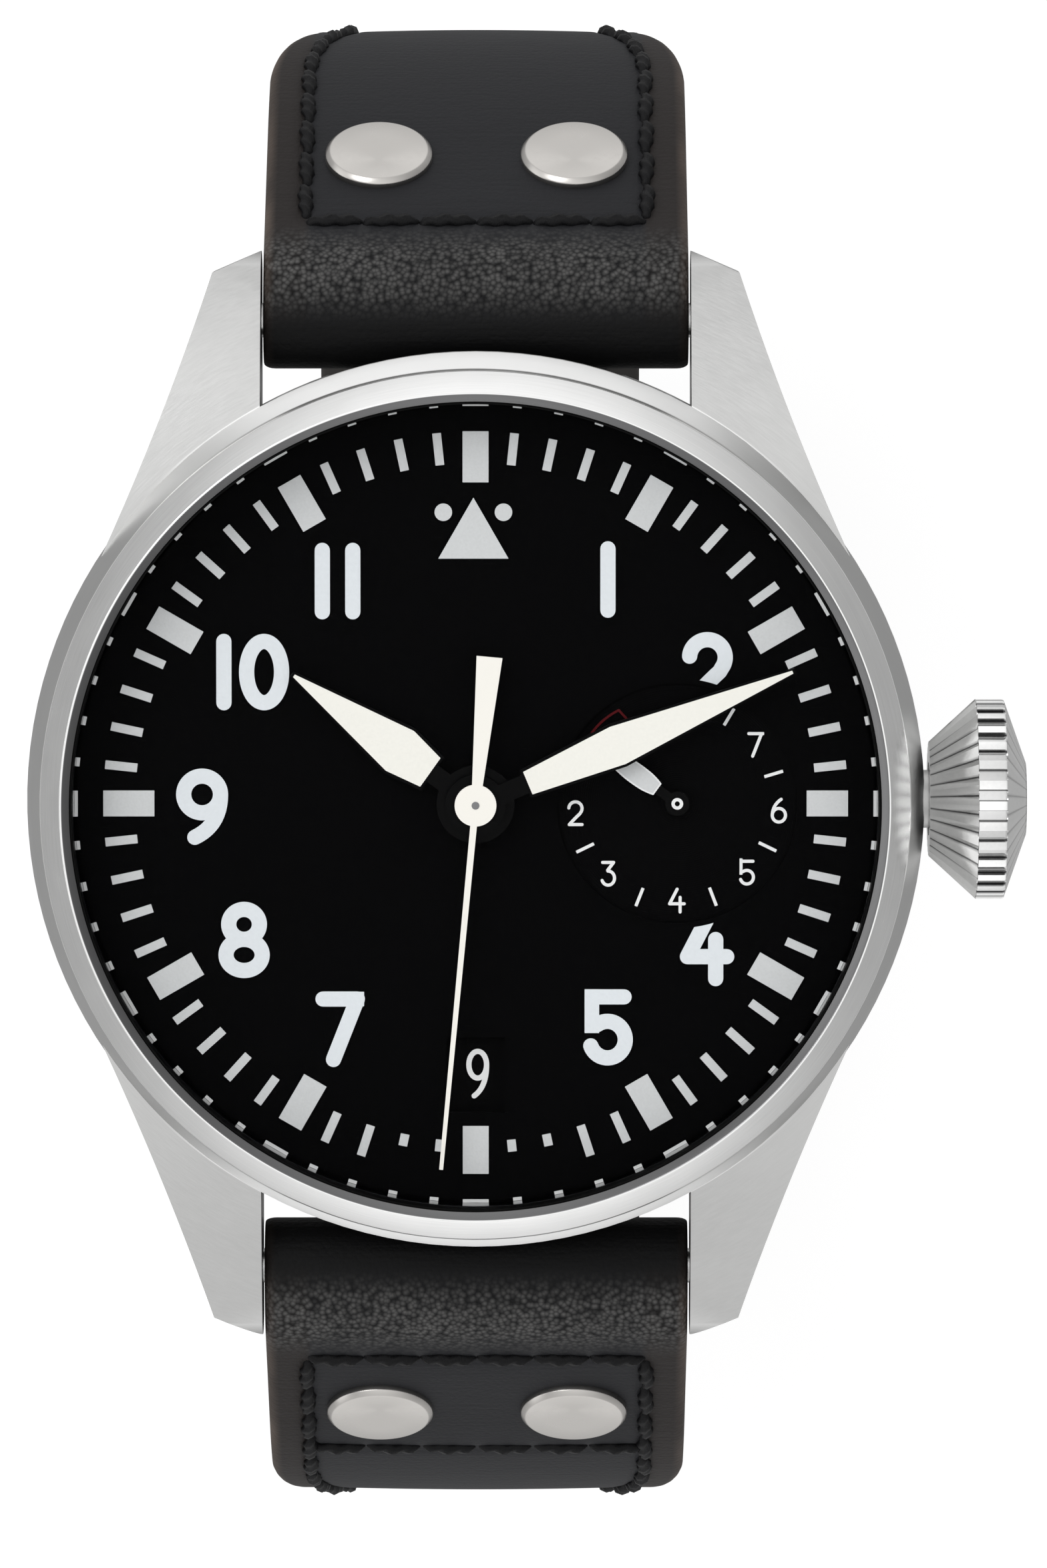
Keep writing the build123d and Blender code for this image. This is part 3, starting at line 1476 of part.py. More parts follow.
def make_hands():
    """The four hands, pointing as they do in the photograph."""
    hour_sizes = (
        hour_lume_start,
        hour_lume_base_width,
        hour_lume_widest,
        hour_lume_width,
        hour_tip,
    )
    minute_sizes = (
        minute_lume_start,
        minute_lume_base_width,
        minute_lume_widest,
        minute_lume_width,
        minute_tip,
    )
    hour_bore = cannon_radius + running_gap
    minute_bore = seconds_arbor_radius + running_gap
    hour_frame, hour_lume = lumed_hand(hour_sizes, hour_pipe_radius + hub_wall, hour_bore, hour_hand_z)
    minute_frame, minute_lume = lumed_hand(minute_sizes, cannon_radius + hub_wall, minute_bore, minute_hand_z)
    return {
        "hour_hand": turned_clockwise(hour_frame, hour_hand_angle),
        "hour_lume": turned_clockwise(hour_lume, hour_hand_angle),
        "minute_hand": turned_clockwise(minute_frame, minute_hand_angle),
        "minute_lume": turned_clockwise(minute_lume, minute_hand_angle),
        "seconds_hand": make_seconds_hand(),
        "reserve_hand": make_reserve_hand(),
    }


def make_crown_parts():
    """The crown with what it turns."""
    tube_start = case_radius + running_gap - tube_length + tube_stand_out
    tube_end = crown_start_x + tube_stand_out - seat_gap - crown_gasket_wall
    gasket_start = crown_start_x + tube_stand_out - crown_gasket_length - seat_gap
    return {
        "crown": make_crown(),
        "crown_tube": tube_between(tube_start, tube_end, tube_radius, tube_bore_radius),
        "crown_gasket": tube_between(
            gasket_start,
            gasket_start + crown_gasket_length,
            tube_radius + crown_gasket_wall,
            tube_radius + running_gap,
        ),
        "winding_stem": make_stem(),
        "winding_pinion": make_winding_pinion(),
    }


def make_straps():
    """Both straps with their rivets, and the bar in the end of the strap at 12."""
    nodes = {}
    leather, lining = strap_solids(bar_end_angle, tail=False)
    holes = rivet_holes(patch_thickness)
    end_roll = rod_along_x(strap_thickness / 2, strap_end_width / 2, bar_end_y, bar_end_z)
    bar_bore = rod_along_x(strap_bar_radius + running_gap, strap_end_width, bar_end_y, bar_end_z)
    nodes["strap_12_leather"] = leather + end_roll - bar_bore - holes
    nodes["strap_12_lining"] = lining - end_roll - holes
    nodes["strap_12_rivets"] = make_rivets()
    bar_half = blade_width / 2 + moving_gap + bow_arm_width
    nodes["strap_12_end_bar"] = rod_along_x(strap_bar_radius, bar_half, bar_end_y, bar_end_z)
    leather, lining = strap_solids(90, tail=True)
    slots = tail_holes()
    nodes["strap_6_leather"] = mirror(leather - holes - slots, Plane.XZ)
    nodes["strap_6_lining"] = mirror(lining - holes - slots, Plane.XZ)
    nodes["strap_6_rivets"] = [mirror(rivet, Plane.XZ) for rivet in make_rivets()]
    return nodes


def make_clasp():
    """The folding clasp."""
    half = blade_width / 2
    return {
        "clasp_cover": make_cover(),
        "clasp_stud": make_stud(),
        "clasp_cover_pin": rod_along_x(clasp_pin_radius, half, cover_pivot_reach, pivot_z),
        "clasp_middle_blade": make_middle_blade(),
        "clasp_fold_pin": rod_along_x(clasp_pin_radius, half + moving_gap + bow_arm_width, fold_y, fold_z),
        "clasp_bow": make_bow(),
    }


def write_parts(nodes):
    """Writes one STEP file for each node."""
    os.makedirs("parts", exist_ok=True)
    for name, shape in nodes.items():
        solids = []
        for piece in shape if isinstance(shape, (list, tuple)) else [shape]:
            solids.extend(piece.solids())
        body = Compound(children=solids) if len(solids) > 1 else solids[0]
        export_step(body, os.path.join("parts", name + ".step"))


write_parts(
    {
        **make_head(),
        **make_movement(),
        **make_hands(),
        **make_crown_parts(),
        **make_straps(),
        **make_clasp(),
    }
)
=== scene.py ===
"""The looks of a pilot's wristwatch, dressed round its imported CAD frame.

Lengths in this file are in millimetres and become metres when a mesh is made. Z is the axis of the hands and
points out of the dial, Y points to 12 o'clock and X to the crown. The origin is on the surface that the clasp
stands on, straight under the hands, as in the CAD source.
"""

import logging
import math
from collections.abc import Callable
from dataclasses import dataclass, field
from enum import Enum
from typing import Any

import bmesh
import bpy
import numpy as np
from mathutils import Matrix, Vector
from mathutils.geometry import delaunay_2d_cdt


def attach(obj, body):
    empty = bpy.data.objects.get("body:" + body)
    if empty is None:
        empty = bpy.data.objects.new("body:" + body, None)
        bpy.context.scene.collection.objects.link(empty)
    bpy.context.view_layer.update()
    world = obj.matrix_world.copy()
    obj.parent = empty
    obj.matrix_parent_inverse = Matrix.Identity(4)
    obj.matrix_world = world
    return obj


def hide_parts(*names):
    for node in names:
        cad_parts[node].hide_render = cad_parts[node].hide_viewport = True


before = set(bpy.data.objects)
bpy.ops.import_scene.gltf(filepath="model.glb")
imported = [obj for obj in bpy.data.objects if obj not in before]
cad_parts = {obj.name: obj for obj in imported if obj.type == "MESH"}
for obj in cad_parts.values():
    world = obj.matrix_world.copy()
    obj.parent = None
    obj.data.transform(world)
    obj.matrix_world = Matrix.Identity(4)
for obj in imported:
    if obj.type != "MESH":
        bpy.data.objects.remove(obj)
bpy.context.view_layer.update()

Array = np.ndarray
Pair = tuple[float, float]
Figure = tuple[str, float, float]
Triple = tuple[float, float, float]
Colour = Triple
log = logging.getLogger("wristwatch")

MM = 0.001
DIAL_TOP = 64.452
DIAL_SINK = 0.2
BEZEL_FOOT = 66.402
CRYSTAL_FOOT = 66.352
CROWN_AXIS = 61.202
DATE_DISC_TOP = 63.802


# Curves and profiles ----------------------------------------------------------


def arc(centre: Pair, radii: Pair, start: float, end: float, count: int) -> Array:
    """Points on an arc of an ellipse.

    Args:
        centre: Middle of the ellipse.
        radii: Its half-widths along the first and the second axis.
        start: First angle in degrees.
        end: Last angle in degrees.
        count: Number of points.

    Returns:
        An array of count points: centre + (radius * cosine, radius * sine) of the angle.
    """
    angle = np.radians(np.linspace(start, end, count))
    return np.stack([centre[0] + radii[0] * np.cos(angle), centre[1] + radii[1] * np.sin(angle)], axis=1)


def bend(start: Pair, pull: Pair, end: Pair, count: int = 14) -> Array:
    """A curve from start to end that leans towards pull: (1-t)^2 start + 2t(1-t) pull + t^2 end."""
    t = np.linspace(0, 1, count)[:, None]
    return (1 - t) ** 2 * np.array(start) + 2 * t * (1 - t) * np.array(pull) + t**2 * np.array(end)


def line(start: Pair, end: Pair, count: int = 2) -> Array:
    """Evenly spaced points of a straight run: start + t (end - start)."""
    return np.linspace(start, end, count)


def circle(centre: Pair, radius: float, count: int) -> Array:
    """A closed outline of points at equal angles on a circle."""
    return arc(centre, (radius, radius), 0, 360, count + 1)[:-1]


def lengths_along(points: Array) -> Array:
    """The distance from the first point to each point along a polyline."""
    return np.concatenate([[0], np.cumsum(np.linalg.norm(np.diff(points, axis=0), axis=1))])


def tangents(points: Array) -> Array:
    """Unit directions of a polyline at its points, from the differences of their neighbours."""
    slope = np.gradient(points, axis=0)
    return slope / np.maximum(np.linalg.norm(slope, axis=1, keepdims=True), 1e-12)


def softened(corners: list[Pair], radius: float, steps: int = 4) -> Array:
    """A closed profile whose corners are rounded.

    Args:
        corners: The profile's corners in order.
        radius: How far from a corner its rounding starts, at most 0.4 of the shorter side there.
        steps: Points in each rounding.

    Returns:
        The rounded profile's points. Each corner becomes (1-t)^2 a + 2t(1-t) corner + t^2 b, where a and b
        lie on its two sides.
    """
    here = np.array(corners, float)
    before, after = np.roll(here, 1, axis=0), np.roll(here, -1, axis=0)
    to_before, to_after = before - here, after - here
    before_length = np.linalg.norm(to_before, axis=1, keepdims=True)
    after_length = np.linalg.norm(to_after, axis=1, keepdims=True)
    reach = np.minimum(radius, 0.4 * np.minimum(before_length, after_length))
    a = here + to_before / before_length * reach
    b = here + to_after / after_length * reach
    t = np.linspace(0, 1, steps)[None, :, None]
    return ((1 - t) ** 2 * a[:, None] + 2 * t * (1 - t) * here[:, None] + t**2 * b[:, None]).reshape(-1, 2)


def anticlockwise(ring: Array) -> Array:
    """A closed outline in anticlockwise order, by the sign of its area, half the sum of x dy - y dx."""
    ahead = np.roll(ring, -1, axis=0)
    area = np.sum(ring[:, 0] * ahead[:, 1] - ahead[:, 0] * ring[:, 1])
    return ring if area > 0 else ring[::-1]


# Meshes -----------------------------------------------------------------------


def quads(index: Array) -> Array:
    """The corners of each cell of a grid of point numbers."""
    cells = [index[:-1, :-1], index[:-1, 1:], index[1:, 1:], index[1:, :-1]]
    return np.stack(cells, axis=-1).reshape(-1, 4)


@dataclass
class Shape:
    """Surfaces in millimetres, gathered to become one mesh."""

    name: str
    points: list[Array] = field(default_factory=list)
    faces: list[Array] = field(default_factory=list)
    marks: list[Array] = field(default_factory=list)
    count: int = 0

    def add(self, points: Array, faces: list[Array] | Array, marks: Array | None = None) -> None:
        """Adds points, faces that index them, and a number for each point that a material may read."""
        self.points.append(points.reshape(-1, 3))
        self.faces.extend(face + self.count for face in faces)
        total = self.points[-1].shape[0]
        self.marks.append(np.zeros(total) if marks is None else marks.reshape(-1))
        self.count += total

    def grid(
        self, surface: Array, close_u: bool = False, close_v: bool = False, marks: Array | None = None
    ) -> None:
        """Adds a surface given as rows and columns of points.

        Args:
            surface: Array of shape (rows, columns, 3).
            close_u: Whether the last row joins the first.
            close_v: Whether the last column joins the first.
            marks: A number for each point, or none.
        """
        rows, columns = surface.shape[:2]
        index = np.arange(rows * columns).reshape(rows, columns)
        if close_u:
            index = np.concatenate([index, index[:1]], axis=0)
        if close_v:
            index = np.concatenate([index, index[:, :1]], axis=1)
        self.add(surface, quads(index), marks)

    def lathe(self, profile: Array, segments: int, closed: bool = True) -> None:
        """Adds a surface of revolution about Z.

        Args:
            profile: Points as (radius, height).
            segments: Steps round the axis.
            closed: Whether the profile's last point joins its first.
        """
        turn = np.linspace(0, 2 * np.pi, segments, endpoint=False)
        radius, height = profile[:, :1], profile[:, 1:]
        surface = np.stack([radius * np.cos(turn), radius * np.sin(turn), height + 0 * turn], axis=-1)
        self.grid(surface, close_u=closed, close_v=True)

    def plate(self, outlines: list[Array], low: float, high: float, cut: Array | None = None) -> None:
        """Adds a flat closed plate, the union of overlapping outlines.

        Args:
            outlines: Closed outlines in the XY plane.
            low: Height of the underside.
            high: Height of the top.
            cut: An outline that is taken out, or none.
        """
        rings = [anticlockwise(ring) for ring in outlines + ([] if cut is None else [cut])]
        starts = np.cumsum([0] + [len(ring) for ring in rings])
        corners = [Vector(point) for point in np.concatenate(rings)]
        loops = [list(range(start, end)) for start, end in zip(starts[:-1], starts[1:])]
        made = delaunay_2d_cdt(corners, [], loops, 1, 1e-5)
        flat = np.array([tuple(point) for point in made[0]])
        kept = [face for face, owners in zip(made[2], made[5]) if owners and len(outlines) not in owners]
        top = np.array(kept)
        size = len(flat)
        edges = np.concatenate([top[:, [0, 1]], top[:, [1, 2]], top[:, [2, 0]]])
        key, mirrored = edges[:, 0] * size + edges[:, 1], edges[:, 1] * size + edges[:, 0]
        rim = edges[~np.isin(key, mirrored)]
        walls = np.stack([rim[:, 0], rim[:, 0] + size, rim[:, 1] + size, rim[:, 1]], axis=1)
        levels = [np.concatenate([flat, np.full((size, 1), level)], axis=1) for level in (high, low)]
        self.add(np.concatenate(levels), [*top, *(top[:, ::-1] + size), *walls])

    def build(self, finish: "Finish", body: str, slot: str, node: str = "", sharp: float = 35.0) -> None:
        """Makes the piece. Its arguments other than the slot are those of finished."""
        mesh = bpy.data.meshes.new(self.name)
        mesh.from_pydata(np.concatenate(self.points) * MM, [], [face.tolist() for face in self.faces])
        mark = mesh.attributes.new("mark", "FLOAT", "POINT")
        mark.data.foreach_set("value", np.concatenate(self.marks).astype(np.float32))
        finished(mesh, self.name, finish, body, node, sharp)


def finished(
    mesh: bpy.types.Mesh,
    name: str,
    finish: "Finish",
    body: str,
    node: str,
    sharp: float,
    bevel: float = 0.0,
) -> None:
    """Welds a mesh, turns its faces outwards, shades it and makes it a piece that rides on a body.

    Args:
        mesh: The mesh in metres.
        name: Name of the piece.
        finish: Its surface finish.
        body: The CAD body that it rides on.
        node: The CAD node that it replaces, or an empty string.
        sharp: Edges that turn by more than this angle, in degrees, stay sharp.
        bevel: Width in millimetres of a live bevel on the sharp edges, or 0.
    """
    work = bmesh.new()
    work.from_mesh(mesh)
    bmesh.ops.remove_doubles(work, verts=work.verts, dist=0.002 * MM)
    bmesh.ops.dissolve_degenerate(work, edges=work.edges, dist=0.0005 * MM)
    bmesh.ops.recalc_face_normals(work, faces=work.faces)
    work.to_mesh(mesh)
    work.free()
    mesh.shade_smooth()
    mesh.set_sharp_from_angle(angle=math.radians(sharp))
    piece = bpy.data.objects.new(name, mesh)
    bpy.context.scene.collection.objects.link(piece)
    mesh.materials.append(finish.material())
    if bevel:
        rounding = piece.modifiers.new("edges", "BEVEL")
        rounding.width = bevel * MM
        rounding.segments = 2
        rounding.limit_method = "ANGLE"
        rounding.angle_limit = math.radians(sharp)
        rounding.harden_normals = True
    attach(piece, body)
    if node:
        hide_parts(node)
    log.info("%s: %d faces on %s", name, len(mesh.polygons), body)


def smooth_copy(node: str, name: str, finish: "Finish", body: str, bevel: float) -> None:
    """Replaces a CAD node by a welded, smoothly shaded copy of itself, with small bevels on its edges."""
    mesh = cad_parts[node].data.copy()
    mesh.materials.clear()
    for layer in ("custom_normal", "sharp_face", "sharp_edge"):
        if layer in mesh.attributes:
            mesh.attributes.remove(mesh.attributes[layer])
    finished(mesh, name, finish, body, node, 28.0, bevel)


# Shaders ----------------------------------------------------------------------


def math_method(operation: str, swapped: bool = False) -> Callable[["Signal", Any], "Signal"]:
    """A method that adds one Math node for a signal and another value, which comes first if swapped."""

    def method(signal: "Signal", other: "float | Signal") -> "Signal":
        """Adds the node."""
        return signal.maths(operation, *((other, signal) if swapped else (signal, other)))

    return method


@dataclass
class Signal:
    """A shader output that Python sums work on: each operator adds one Math node."""

    tree: "ShaderTree"
    socket: bpy.types.NodeSocket

    def maths(self, operation: str, *values: "float | Signal") -> "Signal":
        """Adds a Math node with the values on its inputs, in the order given."""
        return self.tree.node("ShaderNodeMath", {"operation": operation}, dict(enumerate(values)))

    __add__ = __radd__ = math_method("ADD")
    __sub__ = math_method("SUBTRACT")
    __rsub__ = math_method("SUBTRACT", swapped=True)
    __mul__ = math_method("MULTIPLY")
    __truediv__ = math_method("DIVIDE")
    power = math_method("POWER")

    def size(self) -> "Signal":
        """The value without its sign."""
        return self.maths("ABSOLUTE", self)

    def sine(self) -> "Signal":
        """The sine."""
        return self.maths("SINE", self)

    def above(self, edge: float, softness: float) -> "Signal":
        """A mask that rises from 0 to 1 over twice the softness, centred on the edge."""
        settings = {"interpolation_type": "SMOOTHSTEP"}
        inputs = {"Value": self, "From Min": edge - softness, "From Max": edge + softness}
        return self.tree.node("ShaderNodeMapRange", settings, inputs)


class ShaderTree:
    """The nodes of a material or of the sky."""

    def __init__(self, block: bpy.types.Material | bpy.types.World, shader: str = "Principled BSDF") -> None:
        """Turns the block's nodes on.

        Args:
            block: The material or the world.
            shader: Name of its shader node.
        """
        block.use_nodes = True
        self.tree = block.node_tree
        self.nodes = block.node_tree.nodes
        self.shader = self.nodes[shader]

    def node(
        self,
        kind: str,
        settings: dict[str, Any] | None = None,
        inputs: dict[str | int, Any] | None = None,
        output: str | int = 0,
    ) -> Signal:
        """Adds any node.

        Args:
            kind: The node's type.
            settings: Properties that are set first.
            inputs: Values or signals for its sockets, by name or number.
            output: The socket that the signal reads.

        Returns:
            The signal of that output.
        """
        made = self.nodes.new(kind)
        for key, value in (settings or {}).items():
            setattr(made, key, value)
        for key, value in (inputs or {}).items():
            self.plug(made.inputs[key], value)
        return Signal(self, made.outputs[output])

    def plug(self, socket: bpy.types.NodeSocket, value: Any) -> None:
        """Links a signal to a socket, or sets the socket's own value."""
        if isinstance(value, Signal):
            self.tree.links.new(value.socket, socket)
        elif isinstance(value, tuple) and socket.type == "RGBA":
            socket.default_value = (*value, 1)
        else:
            socket.default_value = value

    def shade(self, **values: Any) -> None:
        """Sets or links the shader's sockets; an underscore stands for a space in a socket's name."""
        for key, value in values.items():
            self.plug(self.shader.inputs[key.replace("_", " ")], value)

    def place(self) -> Signal:
        """The point on the object, in millimetres."""
        point = self.node("ShaderNodeTexCoord", output="Object")
        return self.node("ShaderNodeVectorMath", {"operation": "SCALE"}, {0: point, "Scale": 1 / MM})

    def scaled(self, point: Signal, factors: Triple) -> Signal:
        """A point with each axis scaled by its own factor."""
        return self.node("ShaderNodeVectorMath", {"operation": "MULTIPLY"}, {0: point, 1: factors})

    def axes(self, point: Signal) -> tuple[Signal, Signal, Signal]:
        """The three coordinates of a point."""
        split = self.node("ShaderNodeSeparateXYZ", inputs={0: point})
        sockets = split.socket.node.outputs
        return Signal(self, sockets[0]), Signal(self, sockets[1]), Signal(self, sockets[2])

    def joined(self, x: "Signal | float", y: "Signal | float", z: "Signal | float") -> Signal:
        """A point from three coordinates."""
        return self.node("ShaderNodeCombineXYZ", inputs={0: x, 1: y, 2: z})

    def radius(self, point: Signal, centre: Pair = (0.0, 0.0)) -> Signal:
        """How far a point is from an upright axis."""
        x, y, _ = self.axes(point)
        inputs = {0: self.joined(x, y, 0.0), 1: (*centre, 0.0)}
        return self.node("ShaderNodeVectorMath", {"operation": "DISTANCE"}, inputs, output="Value")

    def mark(self) -> Signal:
        """The number that the shape gave to each point."""
        return self.node("ShaderNodeAttribute", {"attribute_name": "mark"}, output="Fac")

    def noise(self, point: Signal, scale: float, detail: float = 3.0) -> Signal:
        """Cloudy noise from 0 to 1, with about this many features a millimetre."""
        return self.node("ShaderNodeTexNoise", inputs={"Vector": point, "Scale": scale, "Detail": detail})

    def cells(self, point: Signal, scale: float) -> Signal:
        """The distance to the middle of the nearest cell of a random packing."""
        return self.node("ShaderNodeTexVoronoi", inputs={"Vector": point, "Scale": scale}, output="Distance")

    def blend(self, mask: Signal, low: Any, high: Any) -> Signal:
        """A colour between two, by a mask from 0 to 1."""
        return self.node("ShaderNodeMix", {"data_type": "RGBA"}, {0: mask, 6: low, 7: high}, output=2)

    def relief(self, height: Signal, depth: float, strength: float = 1.0) -> Signal:
        """A bumped normal from a height of 0 to 1 that stands for a depth in millimetres."""
        inputs = {"Height": height, "Distance": depth * MM, "Strength": strength}
        return self.node("ShaderNodeBump", inputs=inputs)


def dimmed(colour: Colour, share: float) -> Colour:
    """A colour times a share."""
    return tuple(share * channel for channel in colour)


class Brushing(Enum):
    """How a metal surface was finished: its grain's stretch along each axis, or none for rings."""

    ROUND = None
    LONG = (1.0, 0.03, 1.0)
    ACROSS = (0.03, 1.0, 1.0)
    BLASTED = (1.0, 1.0, 1.0)


@dataclass(frozen=True)
class Finish:
    """A surface finish. Its subclasses say how its shader is made."""

    name: str

    def material(self) -> bpy.types.Material:
        """The material, made once."""
        known = bpy.data.materials.get(self.name)
        if known:
            return known
        made = bpy.data.materials.new(self.name)
        self.paint(ShaderTree(made))
        return made

    def paint(self, tree: ShaderTree) -> None:
        """Adds the nodes of the finish."""
        raise NotImplementedError


@dataclass(frozen=True)
class Metal(Finish):
    """Steel, brass or iron with fine lines or a polish, whose gloss varies a little."""

    colour: Colour = (0.56, 0.56, 0.55)
    gloss: float = 0.3
    brushing: Brushing = Brushing.ROUND
    depth: float = 0.004
    fineness: float = 14.0
    contrast: float = 0.78

    def paint(self, tree: ShaderTree) -> None:
        """Lines that run round the hands' axis, along Y or along X, or a blasted grain."""
        point = tree.place()
        if self.brushing is Brushing.ROUND:
            x, y, z = tree.axes(point)
            lined = tree.joined(tree.radius(point), z, (x + y) * 0.02)
        else:
            lined = tree.scaled(point, self.brushing.value)
        lines = tree.noise(lined, self.fineness, 4.0)
        clouds = tree.noise(point, 0.35, 2.0)
        plain = tree.blend(lines * 0.6 + clouds * 0.4, dimmed(self.colour, self.contrast), self.colour)
        tree.shade(
            Base_Color=self.tint(tree, plain),
            Metallic=1.0,
            Roughness=lines * 0.12 + clouds * 0.08 + (self.gloss - 0.1) + self.dulled(tree),
            Normal=tree.relief(lines, self.depth),
        )

    def tint(self, tree: ShaderTree, colour: Signal) -> Signal:
        """The colour as it is."""
        return colour

    def dulled(self, tree: ShaderTree) -> "float | Signal":
        """What is added to the roughness: nothing."""
        return 0.0


@dataclass(frozen=True)
class Grooved(Metal):
    """Metal with painted shade: darker where the mark attribute says that it is deep in a groove."""

    # Colour of the painted shade in the grooves.
    deep: Colour = (0.05, 0.05, 0.052)

    def tint(self, tree: ShaderTree, colour: Signal) -> Signal:
        """Paints shade into the grooves."""
        return tree.blend(tree.mark(), colour, self.deep)


@dataclass(frozen=True)
class Turned(Metal):
    """Metal turned about the rivets' own axes, with the two pale fans of highlight that such a face shows
    painted into its colour.

    Attributes:
        places: Distance of the axes from the middle across and along the strap.
        stretch: 1 / cosine of the slope that the heads lie on.
    """

    places: Pair = (5.1, 32.86)
    stretch: float = 1.788

    def tint(self, tree: ShaderTree, colour: Signal) -> Signal:
        """Paints the highlight fans: pales the colour by (across^2 / radius^2)^3, 1 beside the axis and 0
        above and below it.
        """
        x, y, _ = tree.axes(tree.place())
        across = (x.size() - self.places[0]).power(2.0)
        along = ((y.size() - self.places[1]) * self.stretch).power(2.0)
        # Painted highlight: the two pale fans beside each rivet's axis.
        painted_fan_highlight = (across / (across + along + 0.02)).power(3.0)
        return tree.blend(painted_fan_highlight, dimmed(self.colour, 0.8), colour)


@dataclass(frozen=True)
class Ringed(Metal):
    """Turned metal whose colour changes within a few rings, which paint highlights and dark reflections into
    it.

    Attributes:
        rings: For each ring its inner and outer radius and its colour, a painted highlight or a painted dark
            reflection.
        floor: Height above which the rings show.
        end_dulling: Added roughness of the flank next to the straps, or 0.
        end_colour: Paler colour of the flank there, painted light.
        flank: Inner and outer radius of the flank.
    """

    rings: tuple[tuple[float, float, Colour], ...] = ()
    floor: float = 66.0
    end_dulling: float = 0.0
    end_colour: Colour = (0.98, 0.98, 0.975)
    flank: Pair = (22.35, 23.15)

    def band(self, tree: ShaderTree, inner: float, outer: float) -> Signal:
        """A mask between two radii."""
        radius = tree.radius(tree.place())
        return radius.above(inner, 0.03) * (1 - radius.above(outer, 0.03))

    def ends(self, tree: ShaderTree) -> Signal:
        """A mask of the flank's stretches next to the straps."""
        _, y, z = tree.axes(tree.place())
        return self.band(tree, *self.flank) * z.above(61.5, 1.0) * y.size().above(18.5, 3.0)

    def dulled(self, tree: ShaderTree) -> "float | Signal":
        """Dulls the flank's ends, which then pick up light from above instead of the leather."""
        return self.ends(tree) * self.end_dulling

    def tint(self, tree: ShaderTree, colour: Signal) -> Signal:
        """Paints light into the colour: a highlight or a dark reflection between each ring's radii, and paler
        flank ends.
        """
        _, _, z = tree.axes(tree.place())
        # Painted highlights and painted dark reflections, each between its ring's radii.
        for inner, outer, shade in self.rings:
            band = self.band(tree, inner, outer) * z.above(self.floor, 0.05)
            colour = tree.blend(band, colour, shade)
        # Painted light: a paler colour on the flank's ends next to the straps.
        return tree.blend(self.ends(tree), colour, self.end_colour) if self.end_dulling else colour


@dataclass(frozen=True)
class Leather(Finish):
    """Black calf: pebbled where it bends over the bar, streaked on the patch, worn pale along its edges."""

    patch: Colour = (0.019, 0.0195, 0.022)
    margin: Colour = (0.018, 0.0155, 0.0148)
    # Painted shade: the near-black of the roll next to the case and of the pits in the bend.
    shaded: Colour = (0.003, 0.003, 0.0032)
    # Painted highlight on the pebbled grains of the bend.
    pebble_light: Colour = (0.1, 0.098, 0.096)
    worn: Colour = (0.11, 0.085, 0.07)
    gloss: float = 0.5
    shine: float = 0.1
    pebble: float = 3.9
    seam: float = 8.75
    bend_start: float = 25.7
    bend_end: float = 28.7
    bend_foot: float = 54.0

    def paint(self, tree: ShaderTree) -> None:
        """Paints by place across and along: margins, the roll in painted shade, the pebbled bend in painted
        shade and painted highlights, and the patch.
        """
        point = tree.place()
        x, y, z = tree.axes(point)
        out = y.size()
        top = z.above(self.bend_foot, 1.5)
        # Painted shade: a mask for the roll next to the case, which is painted near black.
        shaded = (1 - out.above(self.bend_start - 0.2, 1.5)) * top
        bent = out.above(self.bend_start - 0.6, 0.9) * (1 - out.above(self.bend_end, 1.0)) * top
        pebbles = 1 - tree.cells(point, self.pebble).power(1.5)
        streaks = tree.noise(tree.scaled(point, (0.12, 1.8, 1.8)), 2.6, 5.0)
        pores = tree.noise(point, 10.0, 2.0)
        clouds = tree.noise(point, 0.25, 3.0)
        inner = tree.blend(streaks, dimmed(self.patch, 0.55), self.patch)
        base = tree.blend(x.size().above(self.seam, 0.25), inner, self.margin)
        # Painted shade over the bend, which leaves dark pits between the grains.
        base = tree.blend(bent * 0.8, base, self.shaded)
        # Painted highlights on the pebbled grains of the bend, the grain being real and its brightness
        # painted light.
        base = tree.blend(bent * pebbles.power(2.2) * (0.45 + clouds * 0.7), base, self.pebble_light)
        # Painted shade on the roll next to the case.
        base = tree.blend(shaded, base, self.shaded)
        # Edge wear, which is weaker where shade is painted on the roll.
        base = tree.blend(tree.mark() * (clouds * 1.6 - 0.2) * (1 - shaded * 0.7), base, self.worn)
        height = pebbles * (0.25 + bent * 0.75) + streaks * 0.4 + pores * 0.2
        tree.shade(
            Base_Color=base,
            Roughness=self.gloss + streaks * 0.16 - pebbles * bent * 0.1,
            Specular_IOR_Level=self.shine,
            Normal=tree.relief(height, 0.08),
        )


@dataclass(frozen=True)
class Lining(Finish):
    """The soft leather on the wrist's side: a close, fleshy grain."""

    colour: Colour = (0.010, 0.0085, 0.0075)
    gloss: float = 0.66

    def paint(self, tree: ShaderTree) -> None:
        """Small cells over soft clouds."""
        point = tree.place()
        cells = tree.cells(point, 3.2)
        clouds = tree.noise(point, 0.4, 4.0)
        tree.shade(
            Base_Color=tree.blend(clouds, self.colour, dimmed(self.colour, 1.9)),
            Roughness=clouds * 0.15 + self.gloss,
            Normal=tree.relief(cells * 0.6 + clouds * 0.4, 0.05, 0.6),
        )


